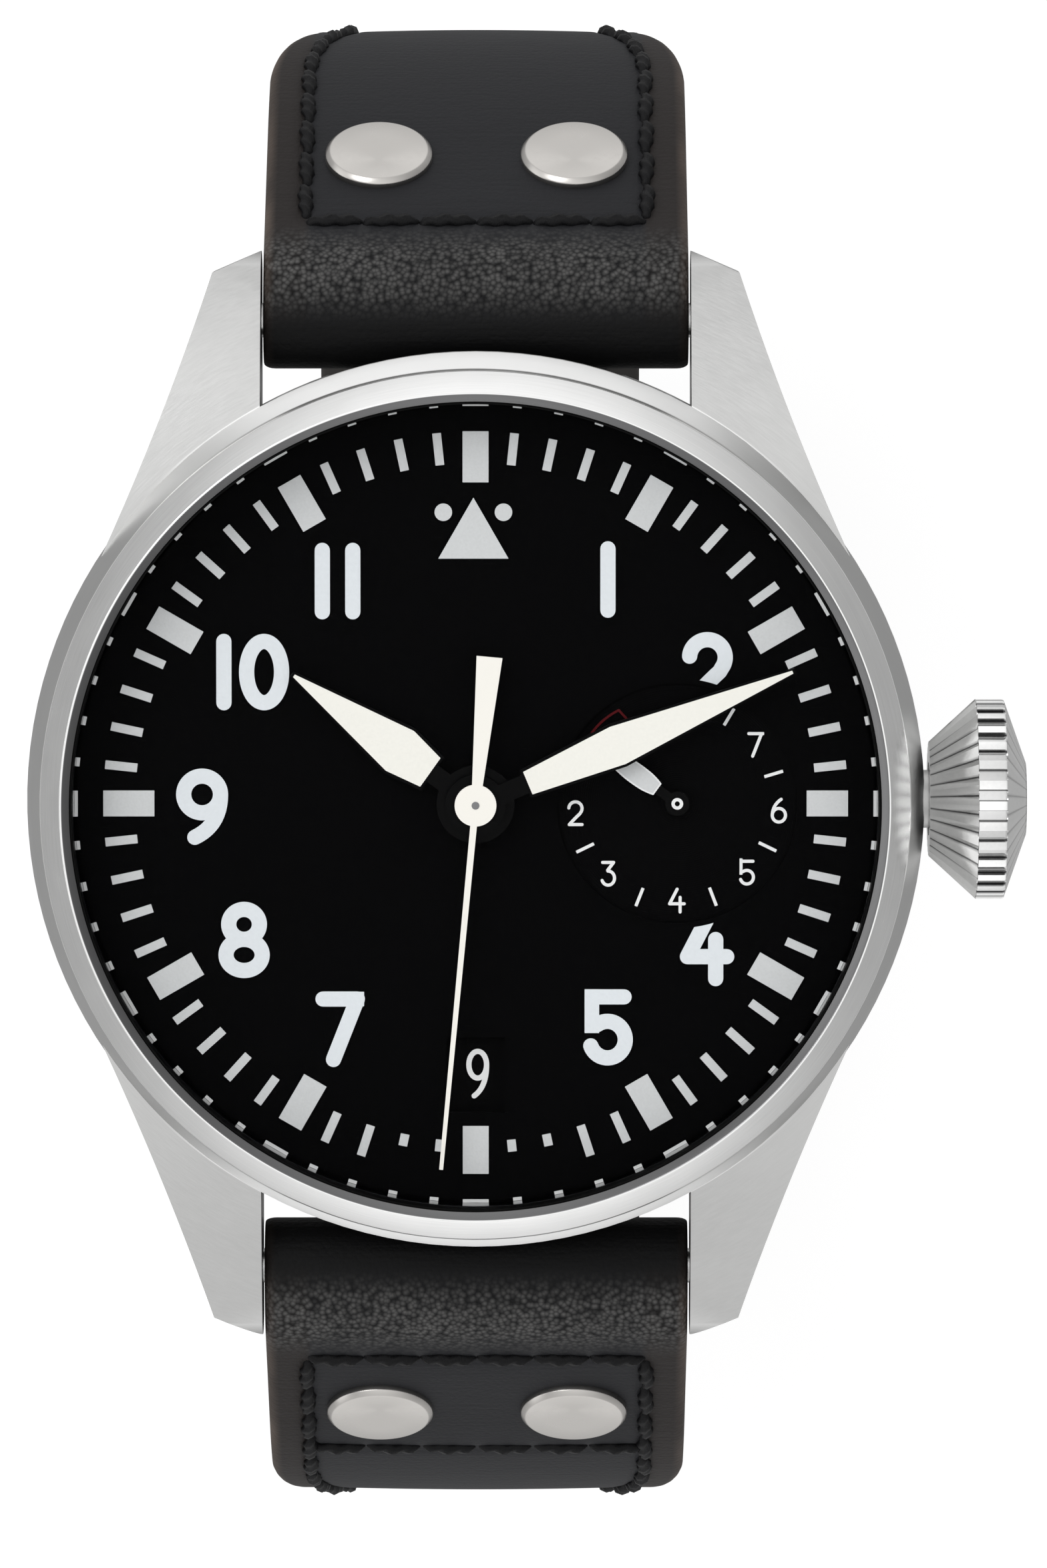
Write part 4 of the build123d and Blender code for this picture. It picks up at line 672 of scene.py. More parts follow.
@dataclass(frozen=True)
class Thread(Finish):
    """Waxed black thread with fine fibres."""

    colour: Colour = (0.0025, 0.0025, 0.0028)

    def paint(self, tree: ShaderTree) -> None:
        """Fibres as stretched noise."""
        point = tree.place()
        fibres = tree.noise(tree.scaled(point, (3.0, 1.0, 1.0)), 9.0, 3.0)
        tree.shade(
            Base_Color=tree.blend(fibres, self.colour, dimmed(self.colour, 3.0)),
            Roughness=fibres * 0.2 + 0.36,
            Specular_IOR_Level=0.12,
            Normal=tree.relief(fibres, 0.03),
        )


@dataclass(frozen=True)
class Paint(Finish):
    """Printed, lacquered or moulded colour with a fine speckle."""

    colour: Colour = (0.8, 0.8, 0.8)
    gloss: float = 0.5
    speckle: float = 0.05
    depth: float = 0.004
    shine: float = 0.5
    fineness: float = 7.0

    def paint(self, tree: ShaderTree) -> None:
        """Speckle in colour, gloss and relief."""
        point = tree.place()
        grains = tree.noise(point, self.fineness, 3.0)
        tree.shade(
            Base_Color=tree.blend(grains, dimmed(self.colour, 1 - 2 * self.speckle), self.colour),
            Roughness=grains * 0.1 + (self.gloss - 0.05),
            Specular_IOR_Level=self.shine,
            Normal=tree.relief(grains, self.depth),
        )


@dataclass(frozen=True)
class Backdrop(Finish):
    """The pale sheet that fills the background, lit a little from within."""

    glow: float = 0.785

    def paint(self, tree: ShaderTree) -> None:
        """A faint mottle in a matt white."""
        mottle = tree.noise(tree.place(), 0.02, 1.0)
        tree.shade(
            Base_Color=tree.blend(mottle, (0.26, 0.26, 0.26), (0.28, 0.28, 0.28)),
            Roughness=1.0,
            Specular_IOR_Level=0.0,
            Emission_Color=(1.0, 1.0, 1.0),
            Emission_Strength=self.glow,
        )


@dataclass(frozen=True)
class DialBlack(Finish):
    """The matt dial, with fine rings turned into its sunk reserve dial."""

    colour: Colour = (0.0009, 0.0009, 0.001)
    reserve: Pair = (10.34, 0.0)
    reserve_radius: float = 6.18
    ring_pitch: float = 0.11

    def paint(self, tree: ShaderTree) -> None:
        """A matt grain everywhere and sine rings by the distance from the reserve dial's middle."""
        point = tree.place()
        radius = tree.radius(point, self.reserve)
        inside = 1 - radius.above(self.reserve_radius - 0.1, 0.05)
        rings = (radius * (2 * math.pi / self.ring_pitch)).sine() * 0.5 + 0.5
        grain = tree.noise(point, 9.0, 3.0)
        tree.shade(
            Base_Color=tree.blend(grain, self.colour, dimmed(self.colour, 1.6)),
            Roughness=0.62 + grain * 0.12 - inside * 0.12,
            Specular_IOR_Level=0.015,
            Normal=tree.relief(grain * 0.4 + rings * inside * 0.6, 0.006),
        )


@dataclass(frozen=True)
class Sapphire(Finish):
    """The coated crystal: nearly nothing seen square on, a little gloss at its rim."""

    def paint(self, tree: ShaderTree) -> None:
        """Opacity rises with the facing angle; a faint smear varies the gloss."""
        facing = tree.node("ShaderNodeLayerWeight", inputs={"Blend": 0.25}, output="Facing")
        smear = tree.noise(tree.place(), 0.15, 2.0)
        tree.shade(
            Base_Color=(0.02, 0.021, 0.024),
            Roughness=smear * 0.02 + 0.01,
            Alpha=facing.power(3.0) * 0.2 + 0.004,
            IOR=1.76,
        )


@dataclass(frozen=True)
class Ruby(Finish):
    """Synthetic ruby: deep red and glassy."""

    def paint(self, tree: ShaderTree) -> None:
        """Red with darker depths under a clear coat."""
        depths = tree.noise(tree.place(), 2.5, 2.0)
        tree.shade(
            Base_Color=tree.blend(depths, (0.25, 0.002, 0.02), (0.55, 0.01, 0.06)),
            Roughness=depths * 0.1 + 0.05,
            Coat_Weight=0.8,
        )


@dataclass(frozen=True)
class Palette:
    """Every finish of the watch."""

    case_steel: Finish = Metal("case_steel_round_brushed", (0.50, 0.50, 0.495), 0.33)
    lug_steel: Finish = Ringed(
        "case_steel_satin",
        (0.54, 0.54, 0.535),
        0.36,
        Brushing.ROUND,
        0.006,
        9.0,
        # A painted highlight along the case's top edge at the groove.
        rings=((22.1, 22.4, (0.98, 0.98, 0.97)),),
        floor=66.2,
        # Rougher flank ends, also painted paler as painted light.
        end_dulling=0.45,
    )
    bezel_steel: Finish = Ringed(
        "bezel_steel_satin",
        (0.88, 0.88, 0.875),
        0.24,
        Brushing.ROUND,
        0.002,
        # A painted dark reflection on the bezel's inner bevel.
        rings=((20.0, 21.12, (0.15, 0.15, 0.152)),),
    )
    flange_steel: Finish = Metal("flange_steel_polished", (0.035, 0.035, 0.037), 0.12, depth=0.0004)
    crown_steel: Finish = Grooved(
        "crown_steel_polished", (0.92, 0.92, 0.915), 0.16, Brushing.BLASTED, 0.0008, 5.0
    )
    bright_steel: Finish = Metal(
        "bright_steel_polished", (0.64, 0.64, 0.635), 0.17, Brushing.BLASTED, 0.0008, 5.0
    )
    rivet_steel: Finish = Turned(
        "rivet_steel_turned", (0.60, 0.58, 0.555), 0.3, Brushing.BLASTED, 0.0004, 3.0
    )
    clasp_steel: Finish = Metal("clasp_steel_brushed", (0.52, 0.52, 0.515), 0.3, Brushing.LONG, 0.004)
    dark_steel: Finish = Metal("dark_steel_turned", (0.20, 0.20, 0.205), 0.3, Brushing.ROUND, 0.002)
    spring_steel: Finish = Metal("spring_steel_blued", (0.10, 0.13, 0.22), 0.22, Brushing.BLASTED, 0.001)
    rhodium: Finish = Metal("rhodium_plate_grained", (0.58, 0.58, 0.575), 0.26, Brushing.ACROSS, 0.004, 6.0)
    gilt: Finish = Metal("gilt_brass_turned", (0.62, 0.42, 0.16), 0.25, Brushing.ROUND, 0.002)
    iron: Finish = Metal("soft_iron_blasted", (0.26, 0.26, 0.27), 0.5, Brushing.BLASTED, 0.01, 8.0)
    leather: Finish = Leather("strap_calf_black")
    lining: Finish = Lining("strap_lining")
    thread: Finish = Thread("strap_thread")
    dial: Finish = DialBlack("dial_matt_black")
    date_disc: Finish = Paint("date_disc_black", (0.0012, 0.0012, 0.0013), 0.7, 0.1, 0.003, 0.02)
    hand_black: Finish = Paint("hand_lacquer_black", (0.0012, 0.0012, 0.0013), 0.35, 0.1, 0.001, 0.04)
    hand_white: Finish = Paint("hand_lacquer_cream", (0.84, 0.82, 0.76), 0.42, 0.02, 0.001)
    lume_cream: Finish = Paint("lume_cream", (0.84, 0.83, 0.77), 0.62, 0.05, 0.006)
    lume_white: Finish = Paint("lume_white", (0.72, 0.76, 0.79), 0.62, 0.06, 0.006)
    lume_grey: Finish = Paint("lume_marker", (0.62, 0.635, 0.64), 0.62, 0.08, 0.006, 0.4, 9.0)
    print_white: Finish = Paint("print_white", (0.78, 0.79, 0.79), 0.6, 0.04, 0.001)
    print_red: Finish = Paint("print_red", (0.085, 0.003, 0.005), 0.6, 0.04, 0.001, 0.1)
    gasket: Finish = Paint("gasket_rubber", (0.002, 0.002, 0.002), 0.6, 0.2, 0.01, 0.06)
    sapphire: Finish = Sapphire("crystal_sapphire")
    ruby: Finish = Ruby("jewel_ruby")
    floor: Finish = Backdrop("studio_sheet")


PALETTE = Palette()


# The case ---------------------------------------------------------------------


@dataclass
class Case:
    """The mid-case with its lugs, the bezel, the crystal, the flange and the back."""

    groove_radius: float = 22.25
    bezel_top_outer: float = 21.2
    bezel_top_inner: float = 21.1
    bezel_height: float = 1.7
    bezel_edge: float = 0.12
    clearance: float = 0.05
    seat_radius: float = 20.7
    spigot_radius: float = 20.95
    spigot_depth: float = 0.9
    inner_drop: float = 0.3
    flange_radius: float = 20.44
    facet_radius: float = 20.58
    facet_rise: float = 0.2
    crystal_radius: float = 20.58
    crystal_edge: float = 1.5
    crystal_rise: float = 1.9
    crystal_thickness: float = 2.0
    segments: int = 288

    def build(self) -> None:
        """Makes the case's pieces."""
        smooth_copy("mid_case", "case_ring_and_lugs", PALETTE.lug_steel, "head", 0.12)
        smooth_copy("case_back", "screwed_back", PALETTE.case_steel, "head", 0.08)
        self.bezel()
        self.flange()
        self.gasket()
        self.crystal()

    def ring(
        self, name: str, corners: list[Pair], softening: tuple[float, int], *place: Any, sharp: float = 35.0
    ) -> None:
        """Turns a section about the hands' axis.

        Args:
            name: Name of the piece.
            corners: The section's corners as (radius, height).
            softening: Radius of the section's roundings and the points in each.
            place: The finish, the body, the slot and the node, as for Shape.build.
            sharp: Edges that turn by more than this angle, in degrees, stay sharp.
        """
        shape = Shape(name)
        shape.lathe(softened(corners, *softening), self.segments)
        shape.build(*place, sharp=sharp)

    def bezel(self) -> None:
        """The bezel: a chamfer outside and a narrow bevel inside."""
        foot, top = BEZEL_FOOT - self.spigot_depth, BEZEL_FOOT + self.bezel_height
        corners = [
            (self.seat_radius, foot),
            (self.spigot_radius, foot),
            (self.spigot_radius, BEZEL_FOOT),
            (self.groove_radius, BEZEL_FOOT),
            (self.groove_radius, BEZEL_FOOT + self.bezel_edge),
            (self.bezel_top_outer, top),
            (self.bezel_top_inner, top),
            (self.seat_radius, top - self.inner_drop),
        ]
        self.ring("bezel_ring", corners, (0.05, 4), PALETTE.bezel_steel, "head", "polished_steel", "bezel")

    def flange(self) -> None:
        """The ring round the dial: a polished facet at its foot, then a wall up to the crystal."""
        step = BEZEL_FOOT - self.spigot_depth - self.clearance
        wall = self.seat_radius - self.clearance
        corners = [
            (self.flange_radius, DIAL_TOP),
            (self.spigot_radius, DIAL_TOP),
            (self.spigot_radius, step),
            (wall, step),
            (wall, CRYSTAL_FOOT),
            (self.facet_radius, CRYSTAL_FOOT),
            (self.facet_radius, DIAL_TOP + self.facet_rise),
        ]
        place = PALETTE.flange_steel, "head", "dark_steel", "inner_flange"
        self.ring("dial_flange", corners, (0.01, 2), *place, sharp=12.0)

    def gasket(self) -> None:
        """The thin ring between the crystal and the bezel."""
        inner, outer = self.crystal_radius + 0.01, self.seat_radius
        low, high = CRYSTAL_FOOT, CRYSTAL_FOOT + self.crystal_edge - self.clearance
        corners = [(inner, low), (outer, low), (outer, high), (inner, high)]
        place = PALETTE.gasket, "head", "gasket_black", "crystal_gasket"
        self.ring("crystal_seal", corners, (0.03, 2), *place)

    def crystal(self) -> None:
        """Two concentric domes, height = centre + sqrt(radius^2 - r^2), joined by a straight edge."""
        edge_top = CRYSTAL_FOOT + self.crystal_edge
        outer = (self.crystal_radius**2 + self.crystal_rise**2) / (2 * self.crystal_rise)
        inner = outer - self.crystal_thickness
        centre = edge_top + self.crystal_rise - outer
        rim = math.sqrt(inner**2 - (CRYSTAL_FOOT - centre) ** 2)
        top_r = np.linspace(0, self.crystal_radius - 0.12, 24)
        under_r = np.linspace(rim, 0, 20)
        over = np.stack([top_r, centre + np.sqrt(outer**2 - top_r**2)], axis=1)
        under = np.stack([under_r, centre + np.sqrt(inner**2 - under_r**2)], axis=1)
        edge = np.array([(self.crystal_radius, edge_top - 0.1), (self.crystal_radius, CRYSTAL_FOOT)])
        shape = Shape("crystal_dome")
        shape.lathe(np.concatenate([over, edge, under]), 192, closed=False)
        shape.build(PALETTE.sapphire, "head", "sapphire", "crystal")


@dataclass
class Crown:
    """The large crown: a grooved cone, a slotted band and a ridged bevel round a flat end.

    Attributes:
        flute_steps: Places between a groove's middle and its ridge, as shares of the way, from 1 down to 0.
        cone_depths: Depth of a groove at both ends of the cone.
        slot_start: Where a slot's wall starts, on the same way.
        slot_slope: How much of the way the wall takes.
        line_start: Where the painted dark line of shade starts in a groove.
    """

    start: float = 23.35
    neck_radius: float = 2.95
    radius: float = 5.15
    cone_length: float = 2.4
    grip_length: float = 1.45
    dome_length: float = 1.15
    end_radius: float = 1.9
    flutes: int = 30
    flute_steps: tuple[float, ...] = (1.0, 0.9, 0.72, 0.56, 0.49, 0.42, 0.28, 0.14, 0.0)
    cone_depths: Pair = (0.16, 0.5)
    slot_depth: float = 0.32
    slot_start: float = 0.42
    slot_slope: float = 0.14
    line_start: float = 0.8
    bore_radius: float = 1.9
    bore_depth: float = 1.7

    def build(self) -> None:
        """Makes the crown from a radius that depends on the place along the axis and on the angle.

        The radius is the profile's less a groove. On the cone the groove is a V that deepens outwards, on the
        band a slot with steep sides, and on the bevel the V runs out towards the end. The mark is painted
        shade, how dark a point is: a line down the middle of each groove, and the slots' walls and floors.
        """
        cone_end = self.start + self.cone_length
        grip_end = cone_end + self.grip_length
        tip = grip_end + self.dome_length
        half = np.array(self.flute_steps)
        fraction = np.concatenate([0.5 - half / 2, 0.5 + half[::-1][1:-1] / 2])
        vee = np.tile(np.abs(fraction - 0.5) * 2, self.flutes)
        turn = (np.arange(self.flutes)[:, None] + fraction).ravel() * 2 * np.pi / self.flutes
        slot = np.clip((vee - self.slot_start) / self.slot_slope, 0, 1)
        # Painted shade: a dark line down the middle of each groove.
        groove_shade_mark = np.clip((vee - self.line_start) / (1 - self.line_start), 0, 1)
        # Painted shade on the slots' walls, fainter on their floors.
        walls = 4 * slot * (1 - slot) + 0.25 * slot
        band_x = np.array([cone_end + 0.02, cone_end + 0.1, grip_end - 0.1, grip_end])
        band_r = np.array([self.radius, self.radius, self.radius, self.radius - 0.03])
        bevel_x = np.linspace(grip_end + 0.05, tip, 6)
        bevel_r = np.linspace(self.radius - 0.15, self.end_radius, 6)
        cone = line((self.start, self.neck_radius), (cone_end, self.radius), 8)
        runs = [
            (cone, self.cone_depths, vee, groove_shade_mark),
            (np.stack([band_x, band_r], axis=1), (self.slot_depth, self.slot_depth), slot, walls),
            (np.stack([bevel_x, bevel_r], axis=1), (self.slot_depth * 0.9, 0.0), vee, 0.5 * groove_shade_mark),
        ]
        bore_end = self.start + self.bore_depth
        bore = np.array([(bore_end, 0.0), (bore_end, self.bore_radius), (self.start, self.bore_radius)])
        flat = np.zeros_like(vee)
        runs = [(bore, (0.0, 0.0), flat, flat), *runs, (np.array([(tip, 0.0)]), (0.0, 0.0), flat, flat)]
        surfaces, marks = [], []
        for profile, (first, last), groove, mark in runs:
            depth = np.linspace(first, last, len(profile))[:, None] * groove
            radius = profile[:, 1:] - depth
            along = profile[:, :1] + 0 * radius
            round_axis = [along, radius * np.cos(turn), radius * np.sin(turn) + CROWN_AXIS]
            surfaces.append(np.stack(round_axis, axis=-1))
            marks.append(np.tile(mark, (len(profile), 1)))
        shape = Shape("fluted_crown")
        shape.grid(np.concatenate(surfaces), close_v=True, marks=np.concatenate(marks))
        shape.build(PALETTE.crown_steel, "crown_and_stem", "polished_steel", "crown", 22.0)


# The dial ---------------------------------------------------------------------


def pen(path: Array, width: float, round_ends: bool = True) -> Array:
    """The outline of a stroke of the pen.

    Args:
        path: Points of its middle line.
        width: Width of the stroke.
        round_ends: Whether its ends are half circles, and square otherwise.

    Returns:
        The closed outline: the path moved to its left and its right by half the width, with the ends between.
    """
    along = tangents(path)
    aside = np.stack([-along[:, 1], along[:, 0]], axis=1) * width / 2
    if not round_ends:
        return np.concatenate([path + aside, (path - aside)[::-1]])
    turn = np.linspace(0, np.pi, 11)[1:-1, None]
    start = path[0] + aside[0] * -np.cos(turn) - along[0] * np.sin(turn) * width / 2
    end = path[-1] + aside[-1] * np.cos(turn) + along[-1] * np.sin(turn) * width / 2
    return np.concatenate([path + aside, end, (path - aside)[::-1], start])


def loop(centre: Pair, radii: Pair) -> list[Array]:
    """A closed round stroke as two halves whose ends overlap, so that its middle stays open."""
    return [arc(centre, radii, start, start + 190, 25) for start in (85, 265)]


def numeral_paths(digit: str) -> list[Array]:
    """The pen's paths for a digit, in a box from -0.5 to 0.5 upwards and about as wide as it needs."""
    paths = {
        "0": loop((0, 0), (0.285, 0.5)),
        "1": [line((0, 0.5), (0, -0.5), 6)],
        "2": [
            np.append(
                arc((0, 0.21), (0.29, 0.29), 176, -38, 26),
                bend((0.2, -0.02), (0.0, -0.2), (-0.27, -0.5), 8),
                axis=0,
            ),
            line((-0.27, -0.5), (0.29, -0.5), 5),
        ],
        "3": [
            line((-0.24, 0.5), (0.24, 0.5), 4),
            line((0.24, 0.5), (-0.02, 0.16), 5),
            arc((0.0, -0.19), (0.28, 0.31), 92, -160, 30),
        ],
        "4": [
            line((0.02, 0.5), (-0.31, -0.14), 6),
            line((-0.31, -0.14), (0.33, -0.14), 5),
            line((0.15, 0.14), (0.15, -0.5), 5),
        ],
        "5": [line((0.27, 0.5), (-0.22, 0.5), 5), arc((0.0, -0.2), (0.29, 0.3), 124, -160, 32)],
        "6": [*loop((0.0, -0.2), (0.29, 0.3)), bend((-0.29, -0.2), (-0.27, 0.25), (0.1, 0.5), 12)],
        "7": [line((-0.28, 0.49), (0.28, 0.49), 5), line((0.28, 0.49), (-0.11, -0.5), 8)],
        "8": [*loop((0, 0.255), (0.25, 0.245)), *loop((0, -0.245), (0.295, 0.255))],
        "9": [*loop((0.0, 0.2), (0.3, 0.3)), bend((0.3, 0.2), (0.3, -0.3), (-0.12, -0.5), 12)],
    }
    return paths[digit]


SQUARE_STROKES = {
    "5": line((-0.255, 0.625), (-0.255, -0.092), 5),
    "7": line((0.1, 0.49), (0.39, 0.49), 4),
}


@dataclass
class Numeral:
    """One printed digit."""

    digit: str
    x: float
    y: float
    height: float = 3.15
    pen_width: float = 0.78
    width_share: float = 1.0

    def outlines(self) -> list[Array]:
        """The outlines of the digit's strokes at its place."""
        size = np.array([self.height * self.width_share, self.height])
        middle = np.array([self.x, self.y])
        strokes = [pen(path * size + middle, self.pen_width) for path in numeral_paths(self.digit)]
        if self.digit in SQUARE_STROKES:
            square = SQUARE_STROKES[self.digit] * size + middle
            strokes.append(pen(square, self.pen_width * 0.96, round_ends=False))
        return strokes


def printed(
    name: str,
    figures: list[list[Array]],
    levels: Pair,
    finish: Finish,
    slot: str,
    body: str = "head",
    cut: Array | None = None,
) -> None:
    """Makes one piece of flat plates.

    Args:
        name: Name of the piece.
        figures: For each plate its overlapping outlines.
        levels: Heights of the undersides and the tops.
        finish: Its surface finish.
        slot: The record's material slot, which is not used.
        body: The CAD body that it rides on.
        cut: An outline that is taken out of every plate, or none.
    """
    shape = Shape(name)
    for outlines in figures:
        shape.plate(outlines, *levels, cut)
    shape.build(finish, body, slot)


@dataclass
class DialPrint:
    """Everything that stands on the dial: markers, ticks, numerals and the reserve dial's scale.

    Attributes:
        hours: The hour numerals, each with its place.
        days: The reserve dial's numerals, each with its place from the middle of that dial.
        half_days: The middles of the ticks between them.
        low_mark: Start, pull and end of the low-reserve mark's bend, then the end of its straight stroke.
        leaf: The reserve hand's pale blade, as distances from its axis and half-widths there.
        arbor_radii: Outer and inner radius of the ring on that hand's arbor.
    """

    marker_end: float = 19.1
    marker_length: float = 2.62
    marker_width: float = 1.33
    tick_length: float = 1.65
    tick_width: float = 0.45
    square_start: float = 17.43
    square_length: float = 0.62
    # Where the pale dashes of painted marker reflections lie on the flange's facet.
    edge_radius: float = 20.57
    edge_width: float = 0.17
    edge_levels: Pair = (0.16, 0.2)
    print_height: float = 0.04
    film: float = 0.02
    thick_film: float = 0.03
    triangle: tuple[Pair, ...] = ((-1.91, 12.57), (1.69, 12.57), (-0.11, 15.7))
    dots: tuple[Pair, ...] = ((-1.65, 14.95), (1.43, 14.95))
    dot_radius: float = 0.45
    hours: tuple[Figure, ...] = (
        ("1", 6.78, 11.5),
        ("2", 11.88, 6.84),
        ("4", 11.85, -7.45),
        ("5", 6.77, -11.54),
        ("7", -6.96, -11.62),
        ("8", -11.89, -7.03),
        ("9", -14.03, -0.17),
        ("1", -12.9, 6.75),
        ("0", -10.84, 6.75),
        ("1", -7.85, 11.42),
        ("1", -6.29, 11.42),
    )
    reserve_x: float = 10.34
    reserve_clip: float = 6.43
    days: tuple[Figure, ...] = (
        ("2", -5.22, -0.52),
        ("3", -3.54, -3.64),
        ("4", -0.02, -5.02),
        ("5", 3.58, -3.58),
        ("6", 5.22, -0.39),
        ("7", 4.0, 3.0),
    )
    half_days: tuple[Pair, ...] = (
        (4.95, 1.5),
        (4.64, -2.25),
        (1.84, -4.82),
        (-1.93, -4.84),
        (-4.72, -2.31),
        (2.66, 4.43),
    )
    day_height: float = 1.17
    day_pen: float = 0.16
    half_day_reach: float = 0.5
    low_mark: tuple[Pair, ...] = ((5.97, 3.63), (6.5, 4.35), (7.34, 4.78), (7.78, 4.3))
    low_mark_pen: float = 0.12
    date_height: float = 2.3
    date_pen: float = 0.27
    date_width_share: float = 0.66
    date_x: float = 0.1
    date_y: float = -13.99
    date_pitch: float = 1.08
    days_on_disc: int = 31
    day_shown: int = 9
    reserve_hand_angle: float = 144.0
    reserve_hand_top: float = 64.802
    leaf: tuple[Pair, ...] = (
        (1.26, 0.36),
        (1.6, 0.46),
        (2.0, 0.52),
        (2.5, 0.54),
        (3.0, 0.53),
        (3.6, 0.46),
        (4.1, 0.3),
        (4.6, 0.085),
    )
    leaf_shoulder: float = 4.3
    leaf_border: float = 0.085
    leaf_top: float = 0.035
    arbor_radii: Pair = (0.3, 0.13)
    seconds_top: float = 66.152
    seconds_arbor_radius: float = 0.2

    def build(self) -> None:
        """Makes the printed pieces."""
        top = DIAL_TOP + self.print_height
        self.markers(top)
        self.numerals(top)
        self.reserve_scale()
        self.hand_details()
        self.date()

    def bar(self, minute: int, start: float, end: float, width: float) -> Array:
        """A rectangle between two radii at a minute's place."""
        turn = math.radians(6 * minute)
        outward = np.array([math.sin(turn), math.cos(turn)])
        aside = np.array([outward[1], -outward[0]]) * width / 2
        near, far = outward * start, outward * end
        return np.array([near + aside, near - aside, far - aside, far + aside])

    def markers(self, top: float) -> None:
        """The hour markers, the minute ticks, the small squares beside 6 o'clock, and pale dashes that paint
        the markers' reflections in the flange's facet.
        """
        short = {15: 2.12, 30: 2.47}
        hours, ticks, dashes = [], [], []
        for minute in range(60):
            on_hour = minute % 5 == 0
            width = self.marker_width if on_hour else self.tick_width
            length = short.get(minute, self.marker_length) if on_hour else self.tick_length
            start, end = self.marker_end - length, self.marker_end
            if 0 < abs(minute - 30) <= 2:
                start, end = self.square_start, self.square_start + self.square_length
            (hours if on_hour else ticks).append([self.bar(minute, start, end, width)])
            # Pale dashes on the flange's facet: painted reflections of the markers and ticks.
            dashes.append([self.bar(minute, self.edge_radius - self.edge_width, self.edge_radius, width)])
        badge = [[np.array(self.triangle)]] + [[circle(dot, self.dot_radius, 32)] for dot in self.dots]
        edge = DIAL_TOP + self.edge_levels[0], DIAL_TOP + self.edge_levels[1]
        raised = DIAL_TOP, top + self.thick_film
        # The painted reflections of the markers in the flange's polished facet.
        printed("flange_painted_marker_reflections", dashes, edge, PALETTE.print_white, "hand_white")
        printed("hour_markers", hours, raised, PALETTE.lume_grey, "lume")
        printed("minute_ticks", ticks, (DIAL_TOP, top), PALETTE.lume_grey, "lume")
        printed("triangle_and_dots", badge, raised, PALETTE.lume_grey, "lume")

    def numerals(self, top: float) -> None:
        """The hour numerals; 2 and 4 are cut by the reserve dial."""
        clip = circle((self.reserve_x, 0.0), self.reserve_clip, 96)
        shape = Shape("hour_numerals")
        for numeral in (Numeral(*hour) for hour in self.hours):
            cut = clip if numeral.digit in "24" else None
            shape.plate(numeral.outlines(), DIAL_TOP, top + self.film, cut)
        shape.build(PALETTE.lume_white, "head", "lume")

    def reserve_scale(self) -> None:
        """Days 2 to 7 with half-day ticks, and the low-reserve mark."""
        low = DIAL_TOP - DIAL_SINK
        levels = low, low + self.thick_film
        figures = []
        for digit, x, y in self.days:
            numeral = Numeral(digit, self.reserve_x + x, y, self.day_height, self.day_pen)
            figures.append(numeral.outlines())
        for x, y in self.half_days:
            reach = self.half_day_reach * np.array([x, y]) / math.hypot(x, y)
            middle = np.array([self.reserve_x + x, y])
            tick = line(middle - reach, middle + reach, 4)
            figures.append([pen(tick, self.day_pen, round_ends=False)])
        strokes = [bend(*self.low_mark[:3]), line(*self.low_mark[2:], 5)]
        mark = [[pen(path, self.low_mark_pen) for path in strokes]]
        printed("reserve_scale", figures, levels, PALETTE.print_white, "hand_white")
        printed("low_reserve_mark", mark, levels, PALETTE.print_red, "hand_white")

    def hand_details(self) -> None:
        """The pale blade on the reserve hand, its arbor, and the dark end of the seconds hand's arbor."""
        turn = math.radians(self.reserve_hand_angle)
        ahead = np.array([math.cos(turn), math.sin(turn)])
        aside = np.array([-ahead[1], ahead[0]])
        hub = (self.reserve_x, 0.0)
        stations, widths = np.array(self.leaf).T
        leaves = []
        for inset in (0.0, self.leaf_border):
            along = np.linspace(stations[0] + inset, self.leaf_shoulder, 14)
            along = np.append(along, stations[-1] - 2 * inset)
            across = np.maximum(np.interp(along, stations, widths) - inset, 0.0)
            middle, half = np.array(hub) + along[:, None] * ahead, across[:, None] * aside
            leaves.append([np.concatenate([middle + half, (middle - half)[::-1][1:]])])
        low, end = self.reserve_hand_top, self.seconds_top
        thin, filling = (low, low + self.film), (low + self.film, low + self.leaf_top)
        white, grey = (PALETTE.print_white, "hand_white"), (PALETTE.lume_grey, "lume")
        rim, hole = (circle(hub, radius, 32) for radius in self.arbor_radii)
        dot = circle((0.0, 0.0), self.seconds_arbor_radius, 24)
        dark = PALETTE.dark_steel, "dark_steel"
        printed("reserve_hand_border", leaves[:1], thin, *white, "reserve")
        printed("reserve_hand_filling", leaves[1:], filling, *grey, "reserve")
        printed("reserve_arbor_ring", [[rim]], thin, *white, "reserve", hole)
        printed("seconds_arbor_end", [[dot]], (end, end + self.film), *dark, "seconds")

    def date(self) -> None:
        """The days 1 to 31, each turned about the hands' axis to its place; the window shows one."""
        figures = []
        for day in range(1, self.days_on_disc + 1):
            turn = 2 * math.pi * (self.day_shown - day) / self.days_on_disc
            spin = np.array([[math.cos(turn), math.sin(turn)], [-math.sin(turn), math.cos(turn)]])
            digits = str(day)
            first = self.date_x - self.date_pitch * (len(digits) - 1) / 2
            for place, digit in enumerate(digits):
                at = first + place * self.date_pitch, self.date_y
                numeral = Numeral(digit, *at, self.date_height, self.date_pen, self.date_width_share)
                figures.append([outline @ spin for outline in numeral.outlines()])
        levels = DATE_DISC_TOP, DATE_DISC_TOP + self.film
        printed("date_numbers", figures, levels, PALETTE.print_white, "hand_white", "date")


# The strap --------------------------------------------------------------------


